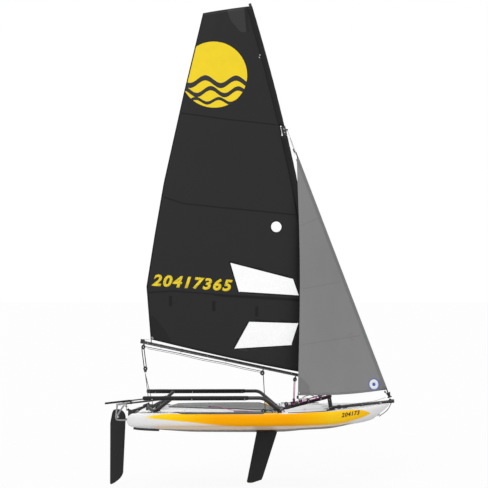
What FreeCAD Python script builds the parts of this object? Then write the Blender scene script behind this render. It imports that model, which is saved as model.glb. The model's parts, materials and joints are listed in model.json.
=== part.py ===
import FreeCAD, Part
import math
import os
from collections import namedtuple

import Sketcher
from FreeCAD import Placement, Rotation, Vector

# A 3.4 m inflatable sailing dinghy with a tube frame, side racks, a bowsprit, a curved mast in a
# sleeved mainsail, a jib on a furler, a daggerboard and a kick-up rudder.
# X points to the bow, Y to port and Z up. The origin is on the waterline, amidships.

# alias, value in mm (degrees where the alias ends in _angle), what it is
SIZES = [
    ("hull_length", 3370, "stern to stem of the inflated hull"),
    ("hull_beam", 1650, "over the two side chambers"),
    ("hull_seam_gap", 0.4, "between the floor and a side chamber, at the glued seam"),
    ("seat_gap", 0.3, "between a piece and what it sits on"),
    ("pad_thickness", 12, "foam deck pad"),
    ("pad_aft", -1180, "aft end of the deck pads"),
    ("pad_front", 70, "front end of the deck pads"),
    ("rack_half_width", 620, "centreline to a hiking rack's rail"),
    ("rack_height", 396, "waterline to a rack's rail"),
    ("rack_tube", 46, "rail, diameter"),
    ("rack_pad", 56, "padded sleeve on the rail, diameter"),
    ("rack_aft", 220, "aft end of a rail, from the stern forward"),
    ("rack_bend", 25, "where a rail turns down to the front foot"),
    ("rack_pad_front", -158, "front end of the padded sleeve"),
    ("rear_leg_top", -1112, "where the rear leg meets the rail"),
    ("leg_tube", 46, "rear leg, diameter"),
    ("foot_half_width", 390, "centreline to the feet of the frame"),
    ("foot_height", 214, "waterline to the middle of a foot"),
    ("front_foot", 240, "front feet, along the hull"),
    ("front_hub", 297, "middle of the bowed front crossbeam, along the hull"),
    ("rear_foot", 358, "rear feet, from the stern forward"),
    ("rear_hub", 245, "middle of the bowed rear crossbeam, from the stern forward"),
    ("rear_hub_height", 250, "waterline to the middle of the rear crossbeam"),
    ("crossbeam_tube", 38, "both crossbeams, diameter"),
    ("hub_length", 70, "casting in the middle of a crossbeam, across the hull"),
    ("hub_diameter", 52, "the same casting, across its tube"),
    ("foot_length", 80, "casting at a crossbeam's end, across the hull"),
    ("foot_diameter", 54, "the same casting, across its tube"),
    ("mast_butt", 905, "lower end of the mast, along the hull"),
    ("mast_butt_height", 392, "waterline to the lower end of the mast"),
    ("mast_height", 5490, "waterline to the top of the mast"),
    ("mast_top", -120, "top of the mast, along the hull"),
    ("hounds_height", 3823, "waterline to the forestay's fitting"),
    ("mast_hounds", 328, "mast at the forestay's fitting, along the hull"),
    ("hounds_angle", 13.2, "rake of the mast there"),
    ("mast_lower_tube", 50, "mast below the fitting, diameter"),
    ("mast_upper_tube", 36, "mast above the fitting, diameter"),
    ("stay_offset", 15, "mast's front to the pin that the rig turns on"),
    ("stay_lead", 9, "that pin to the forestay's own line"),
    ("stay_pin", 8, "forestay's pin, diameter"),
    ("butt_pin", 30, "spigot of the mast in its step, diameter"),
    ("butt_pin_length", 70, "the same spigot, length"),
    ("running_fit", 0.05, "radial clearance of a pin that turns"),
    ("step_tube", 52, "mast step post, diameter"),
    ("strut_tube", 37, "diagonal strut behind the mast step, diameter"),
    ("bowsprit_tube", 38, "bowsprit, diameter"),
    ("bowsprit_tip", 41, "front end of the bowsprit tube, in front of the stem"),
    ("bowsprit_tip_height", 304, "waterline to that end"),
    ("stay_foot", 21, "forestay's lower end, in front of the stem"),
    ("stay_foot_height", 338, "waterline to that end"),
    ("forestay", 6, "forestay, diameter"),
    ("luff_foil", 16, "tube that turns on the forestay, diameter"),
    ("boom_tube", 40, "boom, diameter"),
    ("boom_length", 2475, "gooseneck to the boom's aft end"),
    ("boom_angle", 12.2, "rise of the boom towards its aft end"),
    ("boom_height", 562, "waterline to the boom at the mast"),
    ("rig_rest_angle", 4, "swing of the rig to starboard, as stored"),
    ("sail_thickness", 6, "cloth of both sails with its seams"),
    ("sail_camber", 0.035, "depth of a sail's curve, per chord"),
    ("jib_rest_angle", 15.2, "swing of the jib to starboard, as stored"),
    ("board_thickness", 24, "daggerboard"),
    ("board_chord", 268, "daggerboard below the hull"),
    ("board_front", 236, "daggerboard's leading edge at the hull's bottom"),
    ("board_tip_height", -740, "waterline to the daggerboard's tip"),
    ("board_slide_angle", 5, "rake of the daggerboard's slide"),
    ("slot_clearance", 6, "around the daggerboard in its slot"),
    ("pintle", 18, "rudder's turning axis, behind the stern"),
    ("pintle_pin", 10, "rudder's pin, diameter"),
    ("blade_pivot", 137, "kick-up pivot of the blade, behind the stern"),
    ("blade_pivot_height", 112, "waterline to that pivot"),
    ("blade_chord", 198, "rudder blade"),
    ("blade_thickness", 18, "rudder blade"),
    ("blade_tip_height", -753, "waterline to the blade's tip"),
    ("cheek_thickness", 5, "each side plate of the rudder head"),
    ("cheek_gap", 5, "side plate to blade"),
    ("tiller_tube", 23, "tiller, diameter"),
    ("tiller_front", -1220, "front end of the tiller"),
    ("tiller_front_height", 338, "waterline to that end"),
    ("tiller_aft", 154, "aft end of the tiller, behind the stern"),
    ("tiller_aft_height", 268, "waterline to that end"),
    ("extension_tube", 18, "tiller extension, diameter"),
    ("extension_gap", 12, "extension to tiller"),
    ("extension_length", 785, "tiller extension"),
]

# The hull at its stations, aft to front. along and breadth are shares of the half length and half
# beam, the heights are in mm above the waterline: keel, lower and upper edge of the side, and the
# middle of the deck.
Station = namedtuple("Station", "along breadth keel bilge rim deck")
HULL_STATIONS = [
    Station(-1.000, 0.56, 44, 80, 150, 108),
    Station(-0.985, 0.62, -6, 42, 188, 118),
    Station(-0.950, 0.68, -32, 26, 205, 114),
    Station(-0.800, 0.81, -60, 28, 212, 102),
    Station(-0.450, 0.96, -85, 48, 221, 96),
    Station(0.000, 1.00, -90, 58, 222, 96),
    Station(0.180, 0.99, -86, 60, 222, 102),
    Station(0.340, 0.94, -64, 62, 225, 124),
    Station(0.520, 0.82, -36, 68, 232, 176),
    Station(0.700, 0.63, 20, 92, 245, 218),
    Station(0.860, 0.37, 76, 134, 262, 250),
    Station(0.950, 0.17, 172, 192, 270, 264),
    Station(1.000, 0.04, 250, 254, 278, 272),
]
FLOOR_SHARE = 0.40  # of the half breadth that belongs to the floor
EDGE_ROUND = 0.30  # of a side's height that is rounded, above and below

# The mainsail's sections: height of its luff, and its leech along the hull and above the waterline.
MAIN_SECTIONS = [
    # luff_height, leech, leech_height
    (628, -1403, 1113),
    (1480, -1459, 1789),
    (2260, -1355, 2458),
    (3010, -1240, 3130),
    (4200, -985, 4290),
    (5452, -733, 5352),
]
# Clear panels of the mainsail: corners along the hull and above the waterline.
WINDOWS = [
    [(-374, 2107), (444, 1895), (522, 1669), (-268, 1718)],
    [(-127, 1345), (514, 1323), (415, 1028), (-318, 985)],
]
ROUND_WINDOW = (219, 2566, 77)  # along the hull, height, radius

# The jib's sections, in shares of the luff from the tack up, and of the foot from the luff out.
JIB_SECTIONS = [
    # luff_share, leech_share
    (0.00, 1.000),
    (0.33, 0.665),
    (0.66, 0.335),
    (1.00, 0.022),
]
TACK_ALONG, HEAD_ALONG, CLEW_ALONG, CLEW_OUT = 3600, 352, 3216, 1147  # down the stay, and off it

# Details in mm, each used by one or two pieces.
SIDES = [("port", 1), ("starboard", -1)]
HULL_PIECES = ("hull_floor", "hull_side_port", "hull_side_starboard")
PAD_INNER, PAD_OUTER = 0.56, 0.99  # a deck pad's edges, in shares of the flat deck's half width
RACK_BEND = 110  # radius of a rail's front bend
SLEEVE_CAP = 8  # closed end of a padded sleeve
STERN_SPAR = 26  # stern spar, diameter
BASE_LIFT = 22  # underside of the mast step's post above the deck
BASE_SIZE = (110, 96, 20)  # the mast step's base: along, across, up
COLLAR = (60, 46, 7)  # the bowsprit's collar: from its end, length, wall
SADDLE_INSET = 125  # middle of the bow saddle, from the stem aft
SADDLE_SIZE = (60, 44)  # the bow saddle: along, across
LUG_SIZE = (26, 10)  # the forestay's lower lug: along, across
TOW_EYE = 12  # hole through the bowsprit's end
NOSE_LENGTH = 30  # of the bowsprit's end in front of its tube
RING_RADIUS = 12  # the forestay's ring
RING_HALF = 5  # half the ring's height
BUTT_WALL = 3  # the mast's butt fitting stands out from its tube by this
BUTT_HEIGHT = 30  # the butt fitting
BAND_HALF = 60  # half the height of the hounds bracket's band
BAND_WALL = 5  # the same band
GOOSENECK_WALL = 7  # the gooseneck's clamp
GOOSENECK_HALF = 32  # half its height
GOOSENECK_LEAN = 5.5  # degrees that the mast leans aft there
BOOM_CAP = 30  # the boom's end cap
LUFF_GAP = 6  # mast to the solid part of the sail, inside the sleeve
WINDOW_FILM = 2  # the clear panels
PANEL_GAP = 0.3  # round a clear panel
DRUM_HEIGHT, DRUM_RADIUS, DRUM_WAIST = 66, 30, 17  # the furler's drum
BOARD_HEAD = 132  # top of the daggerboard above the waterline
BOARD_BOTTOM = -88  # where the blade leaves the hull
BOARD_STEP = 48  # the raked trailing edge moves aft by this in the slot as the board lifts
FLANGE_HEIGHT, FLANGE_WIDTH, FLANGE_DEPTH = 10, 92, 30  # round the slot; the depth is trimmed off
STOP_SIZE = (150, 62, 26)  # the daggerboard's head stop: along, across, up
EYES = [(60, 82), (192, 214)]  # low and high ends of the rudder bracket's two eyes
EYE_WALL = 5  # round the rudder's pin
BLADE_PIN = 12  # the blade's pivot, diameter
BLADE_BOSS = 24  # radius of the blade's boss
SWING_PIN = 8  # the tiller extension's pin, diameter

doc = FreeCAD.newDocument("dinghy")
sheet = doc.addObject("Spreadsheet::Sheet", "sizes")
for row, (alias, value, meaning) in enumerate(SIZES, start=1):
    sheet.set(f"A{row}", str(value))
    sheet.set(f"B{row}", meaning)
    sheet.setAlias(f"A{row}", alias)
doc.recompute()

PARTS = []  # the objects that are exported, each under its label


def size(alias):
    """A driving dimension from the sheet."""
    return float(sheet.get(alias))


def derive(alias, value):
    """Writes a worked-out dimension into the sheet, and gives its cell's name for an expression."""
    row = derive.row
    derive.row += 1
    sheet.set(f"A{row}", repr(round(value, 6)))
    sheet.setAlias(f"A{row}", alias)
    sheet.recompute()
    return f"sizes.{alias}"


derive.row = len(SIZES) + 3


def keep(obj, label):
    """Marks an object as a sub-part, under its own label."""
    obj.Label = label
    PARTS.append(obj)
    return obj


def feature(label, shape, placement=None):
    """A sub-part whose shape no primitive or sketch gives."""
    obj = doc.addObject("Part::Feature", label)
    obj.Shape = shape
    if placement is not None:
        obj.Placement = placement
    return keep(obj, label)


def along(start, end):
    """The placement that turns +Z onto the line from start to end."""
    return Placement(start, Rotation(Vector(0, 0, 1), end - start))


def rod(label, start, end, diameter):
    """A straight solid rod or closed tube as a bound cylinder; diameter is an alias."""
    obj = doc.addObject("Part::Cylinder", label)
    obj.setExpression("Radius", f"sizes.{diameter} / 2")
    obj.setExpression("Height", derive(f"{label}_run", (end - start).Length))
    obj.Placement = along(start, end)
    return keep(obj, label)


def solid_rod(start, end, radius):
    """A plain cylinder between two points."""
    return Part.makeCylinder(radius, (end - start).Length, start, end - start)


def bent_path(points, bend):
    """Straight runs joined by arcs of one radius."""
    edges = []
    here = points[0]
    for before, corner, after in zip(points, points[1:], points[2:]):
        into = (corner - before).normalize()
        out = (after - corner).normalize()
        turn = into.getAngle(out)
        cut = bend * math.tan(turn / 2)
        start = corner - into * cut
        end = corner + out * cut
        middle = corner + (out - into).normalize() * (bend / math.cos(turn / 2) - bend)
        edges.append(Part.LineSegment(here, start).toShape())
        edges.append(Part.Arc(start, middle, end).toShape())
        here = end
    edges.append(Part.LineSegment(here, points[-1]).toShape())
    return Part.Wire(edges)


def tube_on(path, radius):
    """A round bar swept on a path."""
    start = path.Edges[0]
    direction = start.tangentAt(start.FirstParameter)
    ring = Part.Wire(Part.makeCircle(radius, start.valueAt(start.FirstParameter), direction))
    return path.makePipeShell([ring], True, False)


def hull_row(position):
    """The hull's section sizes at a place along it, between its stations."""
    share = position / (size("hull_length") / 2)
    for low, high in zip(HULL_STATIONS, HULL_STATIONS[1:]):
        if low.along <= share <= high.along:
            part = (share - low.along) / (high.along - low.along)
            return Station(*[a + part * (b - a) for a, b in zip(low, high)])
    raise ValueError("outside the hull")


def section_wire(position, corners):
    """A closed outline across the hull."""
    return Part.makePolygon([Vector(position, y, z) for y, z in corners + corners[:1]])


def half_breadth(row):
    """Centreline to the side at a station."""
    return row.breadth * size("hull_beam") / 2


def edge_width(row):
    """How far the round of a side reaches inboard."""
    return min(EDGE_ROUND * (row.rim - row.bilge), 0.3 * half_breadth(row))


def level_at(row, y, middle, edge):
    """A height between the hull's middle and a side's edge, across from the centreline."""
    return middle + (edge - middle) * abs(y) / (half_breadth(row) - edge_width(row))


def floor_corners(row):
    """The floor's outline at a station."""
    edge = FLOOR_SHARE * half_breadth(row) - size("hull_seam_gap") / 2
    low = level_at(row, edge, row.keel, row.bilge)
    high = level_at(row, edge, row.deck, row.rim)
    return [(-edge, low), (0, row.keel), (edge, low), (edge, high), (0, row.deck), (-edge, high)]


def side_corners(row, side):
    """A side chamber's outline at a station; side is 1 for port and -1 for starboard."""
    half = half_breadth(row)
    edge = FLOOR_SHARE * half + size("hull_seam_gap") / 2
    width = edge_width(row)
    rise = EDGE_ROUND * (row.rim - row.bilge)
    outline = [
        (edge, level_at(row, edge, row.keel, row.bilge)),
        (half - width, row.bilge),
        (half - 0.3 * width, row.bilge + 0.3 * rise),
        (half, row.bilge + rise),
        (half, row.rim - rise),
        (half - 0.3 * width, row.rim - 0.3 * rise),
        (half - width, row.rim),
        (edge, level_at(row, edge, row.deck, row.rim)),
    ]
    return [(side * y, z) for y, z in outline]


def hull_loft(corners_at):
    """A hull piece through all stations."""
    half = size("hull_length") / 2
    wires = [section_wire(row.along * half, corners_at(row)) for row in HULL_STATIONS]
    return Part.makeLoft(wires, True, True)


def build_hull():
    """The floor with its daggerboard slot, and the two side chambers."""
    floor = hull_loft(floor_corners).cut(board_slot())
    feature("hull_floor", floor)
    for name, side in SIDES:
        feature(f"hull_side_{name}", hull_loft(lambda row: side_corners(row, side)))


def pad_corners(position, side):
    """A foam pad's outline on a side chamber's deck."""
    row = hull_row(position)
    flat = half_breadth(row) - edge_width(row)
    near = size("seat_gap")
    far = near + size("pad_thickness")
    ends = [(share * flat, level_at(row, share * flat, row.deck, row.rim))
            for share in (PAD_INNER, PAD_OUTER)]
    (y_in, z_in), (y_out, z_out) = ends
    outline = [(y_in, z_in + near), (y_out, z_out + near), (y_out, z_out + far), (y_in, z_in + far)]
    return [(side * y, z) for y, z in outline]


def build_pads():
    """The foam deck pads, one on each chamber's inner slope."""
    half = size("hull_length") / 2
    inner = [row.along * half for row in HULL_STATIONS]
    ends = [size("pad_aft"), size("pad_front")]
    places = sorted(ends + [x for x in inner if ends[0] < x < ends[1]])
    for name, side in SIDES:
        wires = [section_wire(x, pad_corners(x, side)) for x in places]
        feature(f"deck_pad_{name}", Part.makeLoft(wires, True, True))


def from_stern(distance):
    """A place along the hull, given from its stern forward."""
    return distance - size("hull_length") / 2


def from_bow(distance):
    """A place along the hull, given from its stem forward."""
    return distance + size("hull_length") / 2


def foot_point(place, side):
    """The middle of a front or rear foot; place is its alias."""
    x = from_stern(size(place)) if place == "rear_foot" else size(place)
    return Vector(x, side * size("foot_half_width"), size("foot_height"))


def rack_points(side):
    """The corners of a rail: aft end, front bend, front foot."""
    out = side * size("rack_half_width")
    top = size("rack_height")
    return [
        Vector(from_stern(size("rack_aft")), out, top),
        Vector(size("rack_bend"), out, top),
        foot_point("front_foot", side) + Vector(-8, side * 14, 12),
    ]


def rack_path(side):
    """The centreline of a rail."""
    return bent_path(rack_points(side), RACK_BEND)


def rear_leg_ends(side):
    """A rear leg, from the rail's centre to its foot's centre."""
    top = Vector(size("rear_leg_top"), side * size("rack_half_width"), size("rack_height"))
    return top, foot_point("rear_foot", side) + Vector(12, side * 12, 10)


def front_arch():
    """The centreline of the bowed front crossbeam."""
    middle = Vector(size("front_hub"), 0, size("foot_height"))
    arc = Part.Arc(foot_point("front_foot", -1), middle, foot_point("front_foot", 1))
    return Part.Wire([arc.toShape()])


def rear_arch():
    """The centreline of the bowed rear crossbeam."""
    middle = Vector(from_stern(size("rear_hub")), 0, size("rear_hub_height"))
    arc = Part.Arc(foot_point("rear_foot", -1), middle, foot_point("rear_foot", 1))
    return Part.Wire([arc.toShape()])


def mast_step_ends():
    """The axis of the mast step post, from the deck to its rim."""
    axis = rig_axis()
    rim = Vector(size("mast_butt"), 0, size("mast_butt_height")) - axis * size("seat_gap")
    deck = hull_row(rim.x).deck + BASE_LIFT
    return rim - axis * ((rim.z - deck) / axis.z), rim


def build_frame():
    """Crossbeams, hubs, feet, racks and legs."""
    gap = size("seat_gap")
    beam = size("crossbeam_tube") / 2
    feature("front_crossbeam", tube_on(front_arch(), beam))
    arch = rear_arch()
    feature("rear_crossbeam", tube_on(arch, beam))
    rear_socket = tube_on(arch, beam + gap)
    front_socket = tube_on(front_arch(), beam + gap)
    strut_low, strut_high = strut_ends()
    strut_socket = solid_rod(strut_low, strut_high, size("strut_tube") / 2 + gap)
    across = Vector(0, size("hub_length") / 2, 0)
    hub_middle = Vector(size("front_hub"), 0, size("foot_height"))
    hub = solid_rod(hub_middle - across, hub_middle + across, size("hub_diameter") / 2)
    feature("front_hub", hub.cut(front_socket).cut(strut_socket))
    middle = Vector(from_stern(size("rear_hub")), 0, size("rear_hub_height"))
    block = solid_rod(middle - across, middle + across, size("hub_diameter") / 2)
    spar_start, spar_end = spar_ends()
    feature("rear_hub", block.cut(rear_socket).cut(solid_rod(spar_start, spar_end, STERN_SPAR / 2 + gap)))
    build_feet(front_socket, rear_socket)
    build_racks()


def foot_block(place, side):
    """A rough foot casting: a short round bar along the crossbeam, flat below."""
    centre = foot_point(place, side)
    half = Vector(0, size("foot_length") / 2, 0)
    bar = solid_rod(centre - half, centre + half, size("foot_diameter") / 2)
    width = size("foot_diameter") + 16
    corner = Vector(centre.x - width / 2, centre.y - size("foot_length") / 2, centre.z - 90)
    return bar.fuse(Part.makeBox(width, size("foot_length"), 68, corner))


def above_hull(shape):
    """A shape cut off just above the deck."""
    lift = Vector(0, 0, size("seat_gap") + 0.3)
    for name in HULL_PIECES:
        skin = doc.getObject(name).Shape.copy()
        skin.translate(lift)
        shape = shape.cut(skin)
    return top_solid(shape)


def top_solid(shape):
    """The highest solid of a cut shape."""
    return max(shape.Solids, key=lambda solid: solid.BoundBox.ZMax)


def build_feet(front_socket, rear_socket):
    """Four castings that carry the frame on the side chambers."""
    gap = size("seat_gap")
    for place, socket in (("front_foot", front_socket), ("rear_foot", rear_socket)):
        solids = []
        for side in (1, -1):
            block = above_hull(foot_block(place, side)).cut(socket)
            if place == "front_foot":
                block = block.cut(tube_on(rack_path(side), size("rack_tube") / 2 + gap))
            else:
                top, low = rear_leg_ends(side)
                block = block.cut(solid_rod(top, low, size("leg_tube") / 2 + gap))
            solids.append(largest(block))
        feature(f"{place.split('_')[0]}_feet", Part.makeCompound(solids))


def largest(shape):
    """The biggest solid of a cut shape."""
    return max(shape.Solids, key=lambda solid: solid.Volume)


def build_racks():
    """Rails with their padded sleeves, and rear legs."""
    gap = size("seat_gap")
    for name, side in SIDES:
        rail = tube_on(rack_path(side), size("rack_tube") / 2)
        beam = tube_on(front_arch(), size("crossbeam_tube") / 2 + gap)
        feature(f"rack_{name}", largest(rail.cut(beam)))
        aft, bend = rack_points(side)[:2]
        cap = Vector(-SLEEVE_CAP, 0, 0)
        pad_end = Vector(size("rack_pad_front"), aft.y, aft.z)
        pad = solid_rod(aft + cap, pad_end, size("rack_pad") / 2)
        pad = pad.cut(solid_rod(aft, pad_end, size("rack_tube") / 2 + gap))
        top, low = rear_leg_ends(side)
        pad = pad.cut(solid_rod(top, low, size("leg_tube") / 2 + gap))
        feature(f"rack_pad_{name}", largest(pad))
        leg = solid_rod(top, low, size("leg_tube") / 2)
        leg = leg.cut(solid_rod(aft, bend, size("rack_tube") / 2 + gap))
        leg = leg.cut(tube_on(rear_arch(), size("crossbeam_tube") / 2 + gap))
        feature(f"rear_leg_{name}", largest(leg))


def strut_ends():
    """The strut's axis, from inside the front hub to the mast step's post."""
    low = Vector(size("front_hub") + 8, 0, size("foot_height") - 4)
    foot, rim = mast_step_ends()
    return low, rim - (rim - foot).normalize() * 26


def spar_ends():
    """The stern spar's axis, from the rear hub to the rudder bracket."""
    start = Vector(from_stern(size("rear_hub")) - 6, 0, size("rear_hub_height") - 2)
    return start, Vector(bracket_face(), 0, 178)


def step_base(grow=0.0):
    """The mast step's base block, on the deck."""
    low = mast_step_ends()[0]
    length, width, height = BASE_SIZE
    corner = Vector(low.x - length / 2 - grow, -width / 2 - grow, low.z - height - grow)
    return Part.makeBox(length + 2 * grow, width + 2 * grow, height + 2 * grow, corner)


def rig_axis():
    """The direction that the rig turns about, from the mast's butt to its upper pin."""
    return (rig_pin() - Vector(size("mast_butt"), 0, size("mast_butt_height"))).normalize()


def rig_pin():
    """The upper pin that the rig turns on, just in front of the mast."""
    front = size("mast_hounds") + size("mast_lower_tube") / 2
    return Vector(front + size("stay_offset"), 0, size("hounds_height"))


def stay_top():
    """The forestay's upper end, in front of the pin."""
    return rig_pin() + Vector(size("stay_lead"), 0, -4)


def stay_foot():
    """The forestay's lower end."""
    return Vector(from_bow(size("stay_foot")), 0, size("stay_foot_height"))


def build_mast_step():
    """The post with its bored rim, its base on the deck and the diagonal strut."""
    low, rim = mast_step_ends()
    axis = (rim - low).normalize()
    post = solid_rod(low, rim, size("step_tube") / 2)
    bore = size("butt_pin") / 2 + size("running_fit")
    depth = size("butt_pin_length") + 4
    post = post.cut(solid_rod(rim - axis * depth, rim + axis, bore))
    base = step_base()
    post = above_hull(post.cut(base).fuse(base))
    start, end = sprit_ends()
    gap = size("seat_gap")
    post = post.cut(solid_rod(start, end, size("bowsprit_tube") / 2 + gap))
    feature("mast_step", largest(post))
    strut_low, strut_high = strut_ends()
    strut = solid_rod(strut_low, strut_high, size("strut_tube") / 2)
    strut = strut.cut(solid_rod(low, rim + axis * 40, size("step_tube") / 2 + gap))
    strut = strut.cut(tube_on(front_arch(), size("crossbeam_tube") / 2 + gap))
    feature("strut", largest(strut))


def sprit_ends():
    """The bowsprit's axis, from the mast step to its tip."""
    low = mast_step_ends()[0]
    start = Vector(low.x + size("step_tube") / 2 - 4, 0, low.z + 22)
    return start, Vector(from_bow(size("bowsprit_tip")), 0, size("bowsprit_tip_height"))


def build_bowsprit():
    """The bowsprit with its end fitting, collar, bow saddle and the forestay."""
    gap = size("seat_gap")
    start, tip = sprit_ends()
    direction = (tip - start).normalize()
    sprit = solid_rod(start, tip, size("bowsprit_tube") / 2)
    sprit = sprit.cut(solid_rod(*mast_step_ends(), size("step_tube") / 2 + gap))
    feature("bowsprit", largest(sprit.cut(step_base(gap))))
    radius = size("bowsprit_tube") / 2
    socket = solid_rod(start, tip, radius + gap)
    offset, length, wall = COLLAR
    collar_start = start + direction * offset
    collar = solid_rod(collar_start, collar_start + direction * length, radius + wall)
    feature("bowsprit_collar", collar.cut(socket))
    saddle_at = start + direction * (from_bow(-SADDLE_INSET) - start.x) / direction.x
    deck = hull_row(saddle_at.x).rim + gap
    long, wide = SADDLE_SIZE
    corner = Vector(saddle_at.x - long / 2, -wide / 2, deck)
    saddle = Part.makeBox(long, wide, saddle_at.z - deck, corner)
    feature("bow_saddle", largest(saddle.cut(socket)))
    build_bowsprit_end(direction, tip, socket)
    build_forestay(stay_foot())


def build_bowsprit_end(direction, tip, socket):
    """The cap on the bowsprit's tip, with the forestay's lug and the towing eye."""
    radius = size("bowsprit_tube") / 2
    cap = solid_rod(tip - direction * 40, tip + direction * NOSE_LENGTH, radius + 5).cut(socket)
    foot = stay_foot()
    long, wide = LUG_SIZE
    height = foot.z - tip.z - size("forestay") / 4
    lug = Part.makeBox(long, wide, height, Vector(foot.x - long / 2, -wide / 2, tip.z))
    cap = cap.fuse(lug.cut(solid_rod(sprit_ends()[0], tip, radius + 4)))
    middle = tip + direction * NOSE_LENGTH / 2
    eye = Part.makeCylinder(TOW_EYE / 2, 80, middle - Vector(0, 0, 40))
    feature("bowsprit_end", largest(cap.cut(eye)))


def build_forestay(foot):
    """The stay with the ring at its top that turns on the rig's pin."""
    top = rig_pin()
    axis = rig_axis()
    wire = solid_rod(stay_top(), foot, size("forestay") / 2)
    ring = solid_rod(top - axis * RING_HALF, top + axis * RING_HALF, RING_RADIUS)
    bore = size("stay_pin") / 2 + size("running_fit")
    hole = solid_rod(top - axis * 2 * RING_HALF, top + axis * 2 * RING_HALF, bore)
    feature("forestay", ring.fuse(wire).cut(hole))


def mast_arcs():
    """The two arcs of the mast, in the plane of the boom."""
    butt = Vector(size("mast_butt"), 0, size("mast_butt_height"))
    hounds = Vector(size("mast_hounds"), 0, size("hounds_height"))
    top = Vector(size("mast_top"), 0, size("mast_height"))
    rake = math.radians(size("hounds_angle"))
    tangent = Vector(-math.sin(rake), 0, math.cos(rake))
    return arc_to(butt, hounds, tangent), arc_to(hounds, top, tangent)


def arc_to(start, end, tangent):
    """The arc from start to end that has this tangent at one of them, bowed forward."""
    chord = end - start
    turn = chord.getAngle(tangent)
    normal = Vector(0, 1, 0).cross(chord).normalize()
    bow = chord.Length / 2 * math.tan(turn / 2)
    middle = (start + end) * 0.5 - normal * bow
    if (middle - (start + end) * 0.5).x < 0:
        middle = (start + end) * 0.5 + normal * bow
    return Part.Arc(start, middle, end)


def mast_x(height):
    """Where the mast's centre is at a height, along the hull."""
    lower, upper = mast_arcs()
    arc = lower if height <= size("hounds_height") else upper
    circle = arc.toShape().Curve
    centre, radius = circle.Center, circle.Radius
    rise = height - centre.z
    return centre.x + math.sqrt(radius * radius - rise * rise)


def mast_radius(height):
    """The mast's radius at a height."""
    lower = height <= size("hounds_height")
    return size("mast_lower_tube" if lower else "mast_upper_tube") / 2


def rig_rest():
    """The turn of the rig about its axis, as stored."""
    butt = Vector(size("mast_butt"), 0, size("mast_butt_height"))
    turn = Rotation(rig_axis(), size("rig_rest_angle"))
    return Placement(Vector(0, 0, 0), turn, butt)


def build_mast():
    """Two mast tubes, the butt spigot and the forestay's bracket."""
    rest = rig_rest()
    lower, upper = mast_arcs()
    butt = Vector(size("mast_butt"), 0, size("mast_butt_height"))
    axis = rig_axis()
    radius = size("mast_lower_tube") / 2
    tube = tube_on(Part.Wire([lower.toShape()]), radius)
    foot_top = butt + axis * BUTT_HEIGHT
    pin = solid_rod(butt - axis * size("butt_pin_length"), foot_top, size("butt_pin") / 2)
    foot = solid_rod(butt, foot_top, radius + BUTT_WALL)
    below = solid_rod(butt - axis * 60, butt, 2 * radius)
    feature("mast_lower", tube.cut(below).fuse(foot).fuse(pin), rest)
    feature("mast_upper", tube_on(Part.Wire([upper.toShape()]), size("mast_upper_tube") / 2), rest)
    build_hounds(lower, rest)


def build_hounds(lower, rest):
    """The band round the mast whose arm carries the pin of the forestay's ring."""
    hounds = Vector(size("mast_hounds"), 0, size("hounds_height"))
    pin_at = rig_pin()
    axis = rig_axis()
    gap = size("seat_gap")
    radius = size("mast_lower_tube") / 2
    rake = math.radians(size("hounds_angle"))
    tangent = Vector(-math.sin(rake), 0, math.cos(rake))
    band = hounds_band(0)
    arm = Part.makeBox(pin_at.x - hounds.x + 10, 16, 16, Vector(hounds.x, -8, hounds.z + 9))
    room = solid_rod(pin_at - axis * 60, pin_at + axis * (RING_HALF + gap), RING_RADIUS + 1)
    band = band.fuse(arm).cut(room)
    band = band.cut(tube_on(Part.Wire([lower.toShape()]), radius + gap))
    band = band.cut(solid_rod(hounds - tangent, hounds + tangent * 80, radius + gap))
    pin = solid_rod(pin_at - axis * 6, pin_at + axis * 12, size("stay_pin") / 2)
    feature("hounds_bracket", largest(band.fuse(pin)), rest)


def hounds_band(grow):
    """The envelope of the hounds bracket's band round the mast."""
    hounds = Vector(size("mast_hounds"), 0, size("hounds_height"))
    rake = math.radians(size("hounds_angle"))
    half = Vector(-math.sin(rake), 0, math.cos(rake)) * (BAND_HALF + grow)
    return solid_rod(hounds - half, hounds + half, size("mast_lower_tube") / 2 + BAND_WALL + grow)


def boom_line():
    """The boom's axis, from the mast's centre to its aft end."""
    rise = math.radians(size("boom_angle"))
    start = Vector(mast_x(size("boom_height")), 0, size("boom_height"))
    return start, start + Vector(-math.cos(rise), 0, math.sin(rise)) * size("boom_length")


def build_boom():
    """The gooseneck clamp on the mast, the boom and its end cap."""
    rest = rig_rest()
    gap = size("seat_gap")
    start, end = boom_line()
    direction = (end - start).normalize()
    lower = mast_arcs()[0]
    mast = tube_on(Part.Wire([lower.toShape()]), size("mast_lower_tube") / 2 + gap)
    lean = math.radians(GOOSENECK_LEAN)
    up = Vector(-math.sin(lean), 0, math.cos(lean)) * GOOSENECK_HALF
    reach = size("mast_lower_tube") / 2 + GOOSENECK_WALL
    clamp = solid_rod(start - up, start + up, reach)
    arm = solid_rod(start, start + direction * (reach + 40), size("boom_tube") / 2 + 4)
    boom_start = start + direction * (reach + 6)
    socket = solid_rod(boom_start - direction * gap, end, size("boom_tube") / 2 + gap)
    feature("gooseneck", largest(clamp.fuse(arm).cut(socket).cut(mast)), rest)
    boom = rod("boom", boom_start, end - direction * BOOM_CAP, "boom_tube")
    boom.Placement = rest.multiply(boom.Placement)
    cap = solid_rod(end - direction * (BOOM_CAP - gap), end, size("boom_tube") / 2 + 1)
    feature("boom_end", cap, rest)


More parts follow.
